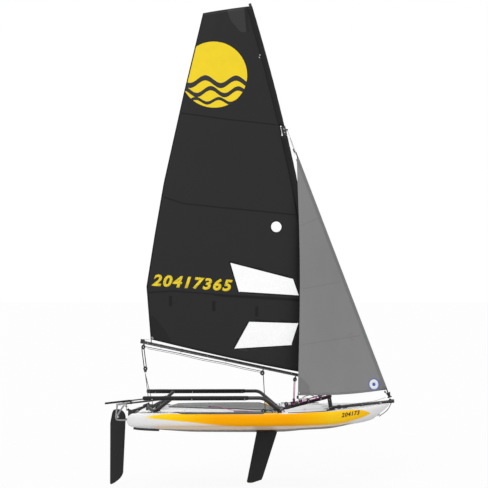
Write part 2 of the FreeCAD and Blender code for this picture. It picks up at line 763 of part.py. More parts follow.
def strip_wire(front, back, thickness, camber, side):
    """A thin curved section of a sail, from its luff to its leech, bulging to one side."""
    chord = back - front
    bow = Vector(0, side * camber * chord.Length, 0)
    lift = Vector(0, thickness, 0)
    middle = (front + back) * 0.5 + bow
    near = Part.Arc(front - lift * 0.5, middle - lift * 0.5, back - lift * 0.5).toShape()
    far = Part.Arc(front + lift * 0.5, middle + lift * 0.5, back + lift * 0.5).toShape()
    first = Part.LineSegment(front - lift * 0.5, front + lift * 0.5).toShape()
    last = Part.LineSegment(back - lift * 0.5, back + lift * 0.5).toShape()
    return Part.Wire(Part.__sortEdges__([near, last, far, first]))


def main_blank(thickness):
    """The mainsail with no windows, in the plane of the boom."""
    wires = []
    for luff_height, leech, leech_height in MAIN_SECTIONS:
        clear = mast_radius(luff_height) + LUFF_GAP
        front = Vector(mast_x(luff_height) - clear, 0, luff_height)
        back = Vector(leech, 0, leech_height)
        wires.append(strip_wire(front, back, thickness, size("sail_camber"), -1))
    return Part.makeLoft(wires, True, True)


def window_prisms(shrink):
    """What cuts the windows, or what fills them when shrunk a little."""
    prisms = []
    for corners in WINDOWS:
        middle = Vector(*[sum(c[i] for c in corners) / len(corners) for i in range(2)])
        points = []
        for x, z in corners:
            step = (Vector(x, z, 0) - middle).normalize() * shrink * 1.5
            points.append(Vector(x - step.x, -400, z - step.y))
        face = Part.Face(Part.makePolygon(points + points[:1]))
        prisms.append(face.extrude(Vector(0, 800, 0)))
    x, z, radius = ROUND_WINDOW
    prisms.append(Part.makeCylinder(radius - shrink, 800, Vector(x, -400, z), Vector(0, 1, 0)))
    return prisms


def build_mainsail():
    """The mainsail with its windows cut and their clear panels."""
    rest = rig_rest()
    sail = main_blank(size("sail_thickness")).cut(hounds_band(size("seat_gap")))
    for prism in window_prisms(0):
        sail = sail.cut(prism)
    feature("mainsail", largest(sail), rest)
    thin = main_blank(WINDOW_FILM)
    panels = [largest(thin.common(prism)) for prism in window_prisms(PANEL_GAP)]
    feature("sail_windows", Part.makeCompound(panels), rest)


def stay_frame():
    """The forestay's top, its direction down and the direction aft of it."""
    top = stay_top()
    down = (stay_foot() - top).normalize()
    return top, down, Vector(down.z, 0, -down.x)


def jib_rest():
    """The turn of the jib about the forestay, as stored."""
    top, down = stay_frame()[:2]
    return Placement(Vector(0, 0, 0), Rotation(down * -1, size("jib_rest_angle")), top)


def build_jib():
    """The foil and drum that turn on the forestay, and the jib."""
    top, down, aft = stay_frame()
    rest = jib_rest()
    bore = size("forestay") / 2 + size("running_fit") * 4
    stay_length = (stay_foot() - top).Length
    foil_end = stay_length - DRUM_HEIGHT - 16
    outer = solid_rod(top + down * (HEAD_ALONG - 60), top + down * foil_end, size("luff_foil") / 2)
    hole = solid_rod(top, top + down * stay_length, bore)
    feature("luff_foil", outer.cut(hole), rest)
    build_drum(top, down, foil_end, bore, rest)
    wires = []
    for luff_share, leech_share in JIB_SECTIONS:
        off = size("luff_foil") / 2 + size("seat_gap")
        luff = TACK_ALONG + luff_share * (HEAD_ALONG - TACK_ALONG)
        leech = HEAD_ALONG + leech_share * (CLEW_ALONG - HEAD_ALONG)
        front = top + down * luff + aft * off
        back = top + down * leech + aft * (leech_share * CLEW_OUT + off)
        wires.append(strip_wire(front, back, size("sail_thickness"), size("sail_camber"), -1))
    feature("jib", Part.makeLoft(wires, True, True), rest)


def build_drum(top, down, foil_end, bore, rest):
    """The hourglass drum, turned about the forestay."""
    body = doc.addObject("PartDesign::Body", "furler_drum")
    sketch = body.newObject("Sketcher::SketchObject", "drum_profile")
    plane = [f for f in body.Origin.OriginFeatures if f.Role == "XZ_Plane"][0]
    sketch.AttachmentSupport = (plane, [""])
    sketch.MapMode = "FlatFace"
    step = 12
    outline = [
        (bore, 0),
        (DRUM_RADIUS, 0),
        (DRUM_RADIUS, 8),
        (DRUM_WAIST, 8 + step),
        (DRUM_WAIST, DRUM_HEIGHT - 8 - step),
        (DRUM_RADIUS, DRUM_HEIGHT - 8),
        (DRUM_RADIUS, DRUM_HEIGHT),
        (bore, DRUM_HEIGHT),
    ]
    draw(sketch, outline)
    turned = body.newObject("PartDesign::Revolution", "drum_turned")
    turned.Profile = sketch
    turned.ReferenceAxis = (sketch, ["V_Axis"])
    turned.Angle = 360
    doc.recompute()
    start = top + down * (foil_end + size("seat_gap"))
    body.Placement = rest.multiply(along(start, start + down))
    keep(body, "furler_drum")


def draw(sketch, outline):
    """A closed outline of straight lines in a sketch, joined at its corners."""
    points = [Vector(x, y, 0) for x, y in outline]
    for here, there in zip(points, points[1:] + points[:1]):
        sketch.addGeometry(Part.LineSegment(here, there), False)
    for i in range(len(points)):
        sketch.addConstraint(Sketcher.Constraint("Coincident", i, 2, (i + 1) % len(points), 1))


def plate(label, outline, thickness):
    """A flat piece padded from an outline in the XZ plane; thickness is an alias."""
    body = doc.addObject("PartDesign::Body", label)
    sketch = body.newObject("Sketcher::SketchObject", f"{label}_outline")
    plane = [f for f in body.Origin.OriginFeatures if f.Role == "XZ_Plane"][0]
    sketch.AttachmentSupport = (plane, [""])
    sketch.MapMode = "FlatFace"
    draw(sketch, outline)
    pad = body.newObject("PartDesign::Pad", f"{label}_pad")
    pad.Profile = sketch
    pad.setExpression("Length", f"sizes.{thickness}")
    pad.Midplane = True
    doc.recompute()
    return keep(body, label)


def board_outline():
    """Corners of the daggerboard, along the hull and above the waterline."""
    front = size("board_front")
    back = front - size("board_chord")
    tip = size("board_tip_height")
    slope = math.tan(math.radians(size("board_slide_angle")))
    rise = BOARD_HEAD - BOARD_BOTTOM
    return [
        (back, BOARD_BOTTOM),
        (back - 0.195 * (BOARD_BOTTOM - tip), tip),
        (back - 0.195 * (BOARD_BOTTOM - tip) + 60, tip - 2),
        (front - 0.324 * (BOARD_BOTTOM - tip) + 8, tip + 36),
        (front - 0.324 * (BOARD_BOTTOM - tip) + 26, tip + 76),
        (front, BOARD_BOTTOM),
        (front + slope * rise, BOARD_HEAD),
        (back + slope * rise, BOARD_HEAD),
    ]


def board_slot(extra=0.0):
    """What the daggerboard's slot takes out of the floor, and a little more out of its flange."""
    clear = size("slot_clearance") + extra
    half = size("board_thickness") / 2 + clear
    front = size("board_front") + clear
    back = front - size("board_chord") - 2 * clear - BOARD_STEP
    slope = math.tan(math.radians(size("board_slide_angle")))
    points = []
    for height, edges in ((-200, (back, front)), (300, (front, back))):
        shift = slope * (height - BOARD_BOTTOM)
        points += [Vector(edge + shift, -half, height) for edge in edges]
    face = Part.Face(Part.makePolygon(points + points[:1]))
    return face.extrude(Vector(0, 2 * half, 0))


def build_daggerboard():
    """The board with its head stop, and the flange around the slot that the stop rests on."""
    plate("daggerboard", board_outline(), "board_thickness")
    gap = size("seat_gap")
    front = size("board_front")
    length = size("board_chord") + 130
    half = FLANGE_WIDTH / 2
    ends = (front - size("board_chord") - 90, front + 50)
    level = max(level_at(row, half, row.deck, row.rim) for row in map(hull_row, ends)) + gap
    corner = Vector(front + 44 - length, -half, level - FLANGE_DEPTH)
    flange = Part.makeBox(length, FLANGE_WIDTH, FLANGE_HEIGHT + FLANGE_DEPTH, corner)
    feature("board_flange", above_hull(flange).cut(board_slot(extra=0.5)))
    slope = math.tan(math.radians(size("board_slide_angle")))
    top = level + FLANGE_HEIGHT + gap
    back = front + slope * (top - BOARD_BOTTOM) - 214
    long, wide, high = STOP_SIZE
    stop = Part.makeBox(long, wide, high, Vector(back, -wide / 2, top))
    thick = size("board_thickness") + 2 * gap
    stop = stop.cut(Part.makeBox(600, thick, 400, Vector(-300, -thick / 2, -200)))
    bridge = Part.makeBox(long, wide, 14, Vector(back, -wide / 2, BOARD_HEAD + gap))
    feature("board_handle", stop.fuse(bridge))


def bracket_face():
    """The aft face of the rudder bracket's plate, along the hull."""
    return -size("hull_length") / 2 - size("seat_gap")


def build_rudder_bracket():
    """The stern spar and the plate with two eyes that carries the rudder."""
    start, end = spar_ends()
    gap = size("seat_gap")
    face = bracket_face()
    pintle = from_stern(-size("pintle"))
    spar = solid_rod(start, end, STERN_SPAR / 2)
    spar = spar.cut(tube_on(rear_arch(), size("crossbeam_tube") / 2 + gap))
    behind = Part.makeBox(80, 80, 200, Vector(face - 80 + gap, -40, 100))
    feature("stern_spar", largest(spar.cut(behind)))
    solid = Part.makeBox(5, 60, 166, Vector(face - 5, -30, 60))
    for low, high in EYES:
        eye = upright(pintle, size("pintle_pin") / 2 + EYE_WALL, low, high)
        lug = Part.makeBox(face - pintle, 14, high - low, Vector(pintle, -7, low))
        solid = solid.fuse(eye.fuse(lug))
    bore = upright(pintle, size("pintle_pin") / 2 + size("running_fit"), -50, 350)
    feature("rudder_bracket", largest(solid.cut(bore)))


def upright(x, radius, low, high):
    """A standing cylinder on the centreline."""
    return Part.makeCylinder(radius, high - low, Vector(x, 0, low))


def head_frame():
    """Corners of the rudder head's side plates, outside and inside."""
    pin = from_stern(-size("pintle"))
    pivot = from_stern(-size("blade_pivot"))
    outside = [
        (pin - 6, 294),
        (pivot - 20, 280),
        (pivot - 34, 66),
        (pin - 6, 58),
        (pin - 6, 84),
        (pivot + 26, 92),
        (pin - 6, 236),
    ]
    inside = [(pin - 30, 266), (pivot + 6, 262), (pivot + 2, 148)]
    return outside, inside


def build_rudder():
    """The rudder head with its pins, the tiller, the kick-up blade and the extension."""
    gap = size("seat_gap")
    half_gap = size("blade_thickness") / 2 + size("cheek_gap")
    tiller_aft, tiller_front = tiller_ends()
    corner = Vector(from_stern(-size("blade_pivot")) - 8, -half_gap, size("tiller_aft_height") - 22)
    socket = Part.makeBox(96, 2 * half_gap, 24, corner)
    solid = head_cheeks(half_gap).fuse(socket)
    solid = solid.cut(solid_rod(tiller_aft, tiller_front, size("tiller_tube") / 2 + gap))
    solid = add_knuckles(solid, half_gap + size("cheek_thickness"))
    across = Vector(0, half_gap + size("cheek_thickness") + 4, 0)
    pivot = blade_axis()
    solid = solid.fuse(solid_rod(pivot - across, pivot + across, BLADE_PIN / 2))
    feature("rudder_head", largest(solid))
    rod("tiller", tiller_aft, tiller_front, "tiller_tube")
    build_blade(half_gap)
    build_extension()


def head_cheeks(half_gap):
    """The rudder head's two open side plates."""
    outside, inside = head_frame()
    rings = [Part.makePolygon([Vector(x, 0, z) for x, z in corners + corners[:1]])
             for corners in (outside, inside)]
    outline = Part.Face(rings[0]).cut(Part.Face(rings[1]))
    cheeks = []
    for side in (1, -1):
        cheek = outline.copy()
        cheek.translate(Vector(0, side * half_gap, 0))
        cheeks.append(cheek.extrude(Vector(0, side * size("cheek_thickness"), 0)))
    return cheeks[0].fuse(cheeks[1])


def add_knuckles(solid, half_width):
    """The head with its knuckles above the bracket's eyes, and the pin through them."""
    pintle = from_stern(-size("pintle"))
    radius = size("pintle_pin") / 2
    for low, high in head_knuckles():
        corner = Vector(pintle - 14, -half_width, low)
        arm = Part.makeBox(10, 2 * half_width, high - low, corner)
        arm = arm.cut(upright(pintle, radius + EYE_WALL - 1, low, high))
        solid = solid.fuse(upright(pintle, radius + EYE_WALL, low, high)).fuse(arm)
    return solid.fuse(upright(pintle, radius, EYES[0][0] - 12, EYES[1][1] + 26))


def blade_axis():
    """The middle of the blade's pivot."""
    return Vector(from_stern(-size("blade_pivot")), 0, size("blade_pivot_height"))


def head_knuckles():
    """Low and high ends of the head's own knuckles, above each eye of the bracket."""
    gap = size("seat_gap")
    return [(EYES[1][1] + gap, EYES[1][1] + 20), (EYES[0][1] + gap, EYES[0][1] + 20)]


def tiller_ends():
    """The tiller's axis."""
    aft = Vector(from_stern(-size("tiller_aft")), 0, size("tiller_aft_height"))
    return aft, Vector(size("tiller_front"), 0, size("tiller_front_height"))


def build_blade(half_gap):
    """The blade, rounded about its pivot, with a boss that fills the head."""
    radius = size("blade_chord") / 2
    pivot = blade_axis()
    tip = size("blade_tip_height")
    front, back = pivot.x + radius, pivot.x - radius
    corners = [
        (back, pivot.z),
        (back, tip),
        (back + 50, tip),
        (front - 60, tip + 60),
        (front, tip + 117),
        (front, pivot.z),
    ]
    points = [Vector(x, 0, z) for x, z in corners]
    edges = [Part.LineSegment(a, b).toShape() for a, b in zip(points, points[1:])]
    edges.append(Part.Arc(points[-1], pivot + Vector(0, 0, radius), points[0]).toShape())
    face = Part.Face(Part.Wire(edges))
    thick = size("blade_thickness")
    face.translate(Vector(0, -thick / 2, 0))
    blade = face.extrude(Vector(0, thick, 0))
    boss = Vector(0, half_gap - size("seat_gap"), 0)
    blade = blade.fuse(solid_rod(pivot - boss, pivot + boss, BLADE_BOSS))
    bore = solid_rod(pivot - boss * 2, pivot + boss * 2, BLADE_PIN / 2 + size("running_fit"))
    feature("rudder_blade", blade.cut(bore))


def extension_frame():
    """The extension's joint, its direction as stored, and the direction above the tiller."""
    aft, front = tiller_ends()
    back = (aft - front).normalize()
    up = Vector(0, -1, 0).cross(back).normalize()
    if up.z < 0:
        up = up * -1
    lift = (size("tiller_tube") + size("extension_tube")) / 2 + size("extension_gap")
    joint = front + up * lift - back * 12
    return joint, back, up


def build_extension():
    """The joint on the tiller's front end, and the extension folded back along the tiller."""
    joint, back = extension_frame()[:2]
    gap = size("seat_gap")
    axis = extension_axis()
    tube = size("extension_tube") / 2
    pin = SWING_PIN / 2
    aft, front = tiller_ends()
    ahead = (front - aft).normalize()
    knuckle = solid_rod(joint - axis * (tube + 18), joint - axis * (tube + gap), tube + 3)
    cup = solid_rod(front - ahead * 20, front + ahead * 22, size("tiller_tube") / 2 + 4)
    tiller_socket = solid_rod(aft, front, size("tiller_tube") / 2 + gap)
    room = solid_rod(joint - axis * (tube + 0.2), joint + axis * 60, tube + 7)
    mount = knuckle.fuse(cup).cut(room).cut(tiller_socket)
    pin_rod = solid_rod(joint - axis * (tube + pin), joint + axis * (tube + 5), pin)
    feature("extension_joint", largest(mount.fuse(pin_rod)))
    stick = solid_rod(joint - back * 14, joint + back * size("extension_length"), tube)
    bore = solid_rod(joint - axis * 30, joint + axis * 30, pin + size("running_fit"))
    feature("tiller_extension", largest(stick.cut(bore)))


def extension_axis():
    """The axis that the extension swings about, leaning to starboard."""
    back, up = extension_frame()[1:]
    side = Vector(0, -0.8, 0) + up * 0.6
    axis = back.cross(side).normalize()
    return axis if axis.z > 0 else axis * -1


def check():
    """Stops when an object failed or a sub-part's shape isn't a sound solid."""
    doc.recompute()
    for obj in doc.Objects:
        if "Invalid" in obj.State or "Error" in obj.State:
            raise RuntimeError(f"{obj.Label} failed: {obj.State}")
    for obj in PARTS:
        if obj.Shape.isNull() or not obj.Shape.isValid() or not obj.Shape.Solids:
            raise RuntimeError(f"{obj.Label} has no sound solid")


def export():
    """Writes each sub-part to its own file."""
    os.makedirs("parts", exist_ok=True)
    for obj in PARTS:
        obj.Shape.exportStep(f"parts/{obj.Label}.step")


build_hull()
build_pads()
build_frame()
build_mast_step()
build_bowsprit()
build_mast()
build_boom()
build_mainsail()
build_jib()
build_daggerboard()
build_rudder_bracket()
build_rudder()
check()
export()
print(len(PARTS), "sub-parts")
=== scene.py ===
"""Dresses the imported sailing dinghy: hull, frame, rig, sails, blades and lines.

All places are in metres on the frame's own axes: X to the bow, Y to port, Z up.
"""

import json
import logging
import math
from dataclasses import dataclass
from enum import Enum
from typing import Callable, Iterable, Optional, Sequence

import bmesh
import bpy
from mathutils import Matrix, Vector, noise
from mathutils.bvhtree import BVHTree


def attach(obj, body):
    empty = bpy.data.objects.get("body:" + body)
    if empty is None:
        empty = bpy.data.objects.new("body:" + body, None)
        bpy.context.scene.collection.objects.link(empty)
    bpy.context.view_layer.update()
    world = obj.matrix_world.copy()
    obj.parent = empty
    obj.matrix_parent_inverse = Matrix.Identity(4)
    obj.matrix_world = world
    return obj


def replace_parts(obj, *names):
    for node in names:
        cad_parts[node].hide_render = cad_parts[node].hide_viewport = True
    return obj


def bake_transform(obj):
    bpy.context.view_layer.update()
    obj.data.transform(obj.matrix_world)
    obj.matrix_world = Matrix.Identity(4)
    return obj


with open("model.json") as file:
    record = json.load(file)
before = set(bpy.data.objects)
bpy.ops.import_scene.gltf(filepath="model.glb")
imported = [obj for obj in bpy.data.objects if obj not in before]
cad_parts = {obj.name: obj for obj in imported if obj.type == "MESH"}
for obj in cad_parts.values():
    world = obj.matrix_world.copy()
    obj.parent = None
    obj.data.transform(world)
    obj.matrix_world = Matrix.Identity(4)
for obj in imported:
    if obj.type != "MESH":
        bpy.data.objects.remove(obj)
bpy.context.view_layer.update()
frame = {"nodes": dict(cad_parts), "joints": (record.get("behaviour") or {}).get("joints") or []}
LOG = logging.getLogger("dinghy")

Colour = tuple[float, float, float]
Flat = tuple[float, float]
Point = Sequence[float]
Socket = bpy.types.NodeSocket
Tree = bpy.types.NodeTree
Piece = bpy.types.Object

TURN = 2 * math.pi
AHEAD, PORTWARD, UP = Vector((1, 0, 0)), Vector((0, 1, 0)), Vector((0, 0, 1))


class Body(str, Enum):
    """The moving bodies of the frame."""

    HULL = "hull"
    RIG = "rig"
    JIB = "jib"
    BOARD = "daggerboard"
    RUDDER = "rudder"
    BLADE = "rudder_blade"
    EXTENSION = "tiller_extension"


class Slot(str, Enum):
    """The record's finishes."""

    HULL_SKIN = "hull_skin"
    DECK_FOAM = "deck_foam"
    FITTING = "fitting_black"
    RACK_FOAM = "rack_foam"
    WIRE = "stay_wire"
    MAIN_CLOTH = "main_cloth"
    FILM = "window_film"
    JIB_CLOTH = "jib_cloth"
    BLADE = "blade_black"
    HEAD = "head_silver"


class Side(Enum):
    """The two sides of the boat, as the sign of Y."""

    PORT = 1
    STARBOARD = -1

    @property
    def word(self) -> str:
        """The side's name in the names of pieces."""
        return self.name.lower()


# ---------------------------------------------------------------- finishes


class Graph:
    """A material's node tree with one principled shader, and short calls for its nodes."""

    def __init__(self, name: str) -> None:
        """Makes an empty tree under the material's name.

        Args:
            name: The material's name.
        """
        self.material = bpy.data.materials.new(name)
        self.material.use_nodes = True
        self.tree = self.material.node_tree
        self.tree.nodes.clear()
        self.shader = self.tree.nodes.new("ShaderNodeBsdfPrincipled")
        output = self.tree.nodes.new("ShaderNodeOutputMaterial")
        self.tree.links.new(self.shader.outputs["BSDF"], output.inputs["Surface"])

    def put(self, socket: Socket, value: object) -> None:
        """Links an output to a socket, or sets the socket's own value.

        Args:
            socket: The socket.
            value: An output, or a plain value.
        """
        if isinstance(value, Socket):
            self.tree.links.new(value, socket)
        elif isinstance(value, tuple) and len(value) < len(socket.default_value):
            socket.default_value = (*value, 1.0)
        else:
            socket.default_value = value

    def plug(self, **values: object) -> None:
        """Fills the shader's sockets, with underscores for the spaces of their names."""
        for key, value in values.items():
            self.put(self.shader.inputs[key.replace("_", " ")], value)

    def node(self, kind: str, inputs: dict, **settings: object) -> bpy.types.Node:
        """Adds a node.

        Args:
            kind: The node's type, without its ShaderNode prefix.
            inputs: Its sockets, by name or index, each a value or another node's output.
            settings: Its other properties.

        Returns:
            The new node.
        """
        made = self.tree.nodes.new("ShaderNode" + kind)
        for key, value in settings.items():
            setattr(made, key, value)
        for key, value in inputs.items():
            self.put(made.inputs[key], value)
        return made

    def coords(self, source: str = "Object", scale: Point = (1, 1, 1), turn: Point = (0, 0, 0)) -> Socket:
        """Places in space or on the surface.

        Args:
            source: "Object" for metres on the frame's axes, "UV" for metres along a piece.
            scale: Multiplies the three axes.
            turn: Rotation about the three axes, in radians.

        Returns:
            The vector output.
        """
        place = self.node("TexCoord", {}).outputs[source]
        mapped = self.node("Mapping", {"Vector": place, "Scale": scale, "Rotation": turn})
        return mapped.outputs["Vector"]

    def split(self, vector: Socket) -> tuple[Socket, ...]:
        """The three outputs of a vector."""
        return tuple(self.node("SeparateXYZ", {0: vector}).outputs)

    def noise(self, vector: Socket, scale: float, detail: float = 3.0) -> Socket:
        """Cloudy values from 0 to 1, at so many to the metre."""
        return self.node("TexNoise", {"Vector": vector, "Scale": scale, "Detail": detail}).outputs[0]

    def bands(self, vector: Socket, scale: float, axis: str = "X") -> Socket:
        """Soft stripes across an axis."""
        inputs = {"Vector": vector, "Scale": scale, "Distortion": 0.0}
        return self.node("TexWave", inputs, wave_type="BANDS", bands_direction=axis).outputs["Fac"]

    def weave(self, vector: Socket, scale: float = 700.0) -> Socket:
        """Threads along X and along Z."""
        return self.maths("ADD", self.bands(vector, scale, "X"), self.bands(vector, scale, "Z"))

    def maths(self, kind: str, first: object, *others: object) -> Socket:
        """A value worked out from others, one after the other.

        Args:
            kind: The operation.
            first: What it starts from.
            others: What follows, in order.

        Returns:
            The result.
        """
        for other in others or (0.0,):
            first = self.node("Math", {0: first, 1: other}, operation=kind).outputs[0]
        return first

    def step(self, value: object, low: float, high: float, to: Flat = (0.0, 1.0)) -> Socket:
        """A smooth rise between two values of the input."""
        inputs = {"Value": value, "From Min": low, "From Max": high, "To Min": to[0], "To Max": to[1]}
        return self.node("MapRange", inputs, interpolation_type="SMOOTHSTEP").outputs[0]

    def curve(self, value: object, points: Sequence[Flat]) -> Socket:
        """A curve through points, all from 0 to 1.

        Args:
            value: The input.
            points: The curve's points.

        Returns:
            The curve's output.
        """
        made = self.node("FloatCurve", {"Value": value})
        line = made.mapping.curves[0]
        line.points[0].location, line.points[1].location = points[0], points[-1]
        for point in points[1:-1]:
            line.points.new(*point)
        made.mapping.update()
        return made.outputs[0]

    def mix(self, share: object, first: object, second: object) -> Socket:
        """A blend of two colours or colour outputs."""
        return self.node("Mix", {0: share, 6: first, 7: second}, data_type="RGBA").outputs[2]

    def ramp(self, value: object, stops: Sequence[tuple[float, Colour]]) -> Socket:
        """A colour that runs through stops.

        Args:
            value: The input.
            stops: Places and colours.

        Returns:
            The colour.
        """
        made = self.node("ValToRGB", {"Fac": value})
        row = made.color_ramp.elements
        row[0].position, row[0].color = stops[0][0], (*stops[0][1], 1.0)
        row[1].position, row[1].color = stops[-1][0], (*stops[-1][1], 1.0)
        for place, colour in stops[1:-1]:
            row.new(place).color = (*colour, 1.0)
        return made.outputs["Color"]

    def relief(self, height: Socket, depth: float, below: Optional[Socket] = None) -> Socket:
        """A bumped normal of so many metres, on top of another one.

        Args:
            height: The relief.
            depth: Its depth.
            below: The normal that it is laid on.

        Returns:
            The normal.
        """
        inputs = {"Height": height, "Distance": depth, "Strength": 1.0}
        if below is not None:
            inputs["Normal"] = below
        return self.node("Bump", inputs).outputs["Normal"]


def shade(colour: Colour, factor: float) -> Colour:
    """A colour made lighter or darker."""
    return tuple(min(1.0, channel * factor) for channel in colour)


@dataclass(frozen=True)
class Finish:
    """A surface finish; each kind draws its own material, once."""

    name: str
    colour: Colour
    roughness: float = 0.5

    def material(self) -> bpy.types.Material:
        """The finish's material, made at its first use.

        Returns:
            The material.
        """
        known = bpy.data.materials.get(self.name)
        if known is None:
            graph = Graph(self.name)
            self.draw(graph)
            known = graph.material
        return known

    def draw(self, graph: Graph) -> None:
        """Draws the finish into an empty material."""
        raise NotImplementedError

    def tone(self, graph: Graph, share: Socket, dark: float, light: float) -> Socket:
        """The finish's colour, made darker to lighter by a share."""
        return graph.mix(share, shade(self.colour, dark), shade(self.colour, light))

    def rough(self, graph: Graph, source: Socket, span: Flat, less: float, more: float) -> Socket:
        """The finish's roughness, made less to more over a span of the source."""
        return graph.step(source, *span, (self.roughness - less, self.roughness + more))


@dataclass(frozen=True)
class CoatedFabric(Finish):
    """Coated hull fabric with a fine base cloth that shows through, and scuffs."""

    grain: float = 900.0

    def body(self, graph: Graph) -> Socket:
        """The plain colour, with faint clouds."""
        return self.tone(graph, graph.noise(graph.coords(), 3.0, 4.0), 0.94, 1.03)

    def draw(self, graph: Graph) -> None:
        """Colour, roughness and relief of the coated cloth.

        Args:
            graph: The material's nodes.
        """
        place = graph.coords()
        puffs = graph.relief(graph.noise(place, 5.0, 2.0), 0.004)
        graph.plug(
            Specular_IOR_Level=0.06,
            Base_Color=self.body(graph),
            Roughness=self.rough(graph, graph.noise(place, 14.0, 6.0), (0.3, 0.75), 0.06, 0.1),
            Normal=graph.relief(graph.weave(place, self.grain), 0.00006, puffs),
        )


@dataclass(frozen=True)
class BandedHull(CoatedFabric):
    """Hull fabric with the orange side band, drawn from edges along the hull."""

    half_length: float = 1.7
    top_edge: tuple[Flat, ...] = ()
    low_edge: tuple[Flat, ...] = ()
    # painted shade: the keel strip darkened to a deep orange-brown
    keel_shade_colour: Colour = (0.075, 0.030, 0.008)
    # painted shade with a warm painted reflection, on the hull's downward faces
    shaded: Colour = (0.86, 0.60, 0.32)
    skid_colour: Colour = (0.035, 0.035, 0.037)
    corner_colour: Colour = (0.96, 0.50, 0.0)
    # The yellow ends and orange middle are the band's print; the lighter yellow stops from 0.70 to 0.88 near
    # the bow are a painted highlight.
    band: tuple[tuple[float, Colour], ...] = (
        (0.06, (0.94, 0.70, 0.010)), (0.13, (0.94, 0.61, 0.004)), (0.21, (0.94, 0.54, 0.002)),
        (0.33, (0.94, 0.39, 0.0)), (0.60, (0.94, 0.39, 0.0)), (0.70, (0.94, 0.48, 0.002)),
        (0.76, (0.93, 0.57, 0.012)), (0.88, (0.94, 0.52, 0.004)),
    )

    def edge(self, graph: Graph, along: Socket, edge: Sequence[Flat]) -> Socket:
        """The height of a band's edge over the hull's length."""
        points = [(0.5 + x / (2 * self.half_length), 0.5 + z) for x, z in edge]
        return graph.maths("SUBTRACT", graph.curve(along, points), 0.5)

    def body(self, graph: Graph) -> Socket:
        """White above and below a band that runs from yellow through orange to yellow, with painted shade and
        a warm painted reflection on the underside, darkest along the keel.

        Args:
            graph: The material's nodes.

        Returns:
            The colour.
        """
        x, y, z = graph.split(graph.coords())
        _, side, up = graph.split(graph.node("NewGeometry", {}).outputs["Normal"])
        out = graph.maths("ABSOLUTE", y)
        inputs = {0: x, 1: 1 / (2 * self.half_length), 2: 0.5}
        along = graph.node("Math", inputs, operation="MULTIPLY_ADD").outputs[0]
        above = graph.maths("SUBTRACT", z, self.edge(graph, along, self.low_edge))
        below = graph.maths("SUBTRACT", self.edge(graph, along, self.top_edge), z)
        banded = graph.maths(
            "MULTIPLY", graph.step(above, -0.012, 0.006), graph.step(below, -0.004, 0.004),
            graph.step(graph.maths("ABSOLUTE", side), 0.22, 0.4), graph.step(x, -1.50, -1.33),
        )
        white = self.tone(graph, graph.noise(graph.coords(), 2.4, 3.0), 0.95, 1.02)
        middle = graph.maths("MULTIPLY", graph.step(up, -0.35, -0.75), graph.step(out, 0.38, 0.30))
        span = graph.maths("MULTIPLY", graph.step(x, -1.40, -1.25), graph.step(x, 1.25, 1.05))
        stern = graph.maths("MULTIPLY", graph.step(x, -1.640, -1.625), graph.step(x, -1.285, -1.295))
        corner = graph.maths(
            "MULTIPLY", graph.step(x, 0.0, 0.02), graph.step(x, 0.28, 0.20), graph.step(up, 0.5, 0.8),
            graph.step(out, 0.46, 0.50),
        )
        # painted shade: downward faces turn a warm tan, standing in for shade and a warm reflection
        turned = graph.maths("MULTIPLY", graph.step(up, -0.05, -0.75), 0.75, span)
        # painted shade along the keel's middle; the black at the stern is the skid's own colour
        for share, colour in (
            (turned, self.shaded), (graph.maths("MULTIPLY", middle, span), self.keel_shade_colour),
            (graph.maths("MULTIPLY", middle, stern), self.skid_colour), (corner, self.corner_colour),
        ):
            white = graph.mix(share, white, colour)
        return graph.mix(banded, white, graph.ramp(along, self.band))


@dataclass(frozen=True)
class DeckFoam(Finish):
    """Brushed closed-cell foam with sewn-straight grooves along the deck."""

    groove: float = 0.030

    def draw(self, graph: Graph) -> None:
        """Grooves with painted shade in them, cells and worn places.

        Args:
            graph: The material's nodes.
        """
        place = graph.coords()
        saw = graph.maths("PINGPONG", graph.split(place)[1], self.groove / 2)
        line = graph.step(saw, 0.0012, 0.0004)
        cells = graph.noise(place, 900.0, 2.0)
        wear = graph.noise(graph.coords(scale=(1, 3, 3)), 5.0, 5.0)
        graph.plug(
            Specular_IOR_Level=0.15,
            Sheen_Weight=0.05,
            # painted shade: the grooves darken to 0.55 of the foam's colour
            Base_Color=graph.mix(line, self.tone(graph, wear, 0.86, 1.12), shade(self.colour, 0.55)),
            Roughness=self.rough(graph, cells, (0.2, 0.8), 0.08, 0.1),
            Normal=graph.relief(line, -0.0012, graph.relief(cells, 0.00025)),
        )


@dataclass(frozen=True)
class AnodisedTube(Finish):
    """Dark anodised aluminium: drawing lines, finger marks and rubbed bright spots."""

    metal: float = 0.35

    def draw(self, graph: Graph) -> None:
        """Smears, drawing lines and rubs.

        Args:
            graph: The material's nodes.
        """
        place = graph.coords()
        smears = graph.noise(place, 7.0, 5.0)
        lines = graph.noise(graph.coords(scale=(3, 60, 60)), 12.0, 4.0)
        rubs = graph.maths("MULTIPLY", graph.step(graph.noise(place, 42.0, 6.0), 0.66, 0.74), 0.35)
        graph.plug(
            Metallic=self.metal,
            Specular_IOR_Level=0.5,
            Base_Color=graph.mix(rubs, self.tone(graph, smears, 0.75, 1.3), shade(self.colour, 4.0)),
            Roughness=self.rough(graph, smears, (0.25, 0.8), 0.09, 0.12),
            Normal=graph.relief(lines, 0.00008),
        )


@dataclass(frozen=True)
class Moulded(Finish):
    """Moulded plastic with a fine grain and paler worn places."""

    def draw(self, graph: Graph) -> None:
        """Grain and wear.

        Args:
            graph: The material's nodes.
        """
        place = graph.coords()
        wear = graph.noise(place, 18.0, 6.0)
        graph.plug(
            Specular_IOR_Level=0.4,
            Base_Color=graph.mix(graph.step(wear, 0.35, 0.75), self.colour, shade(self.colour, 1.9)),
            Roughness=self.rough(graph, wear, (0.2, 0.8), 0.08, 0.1),
            Normal=graph.relief(graph.noise(place, 1400.0, 2.0), 0.00007),
        )


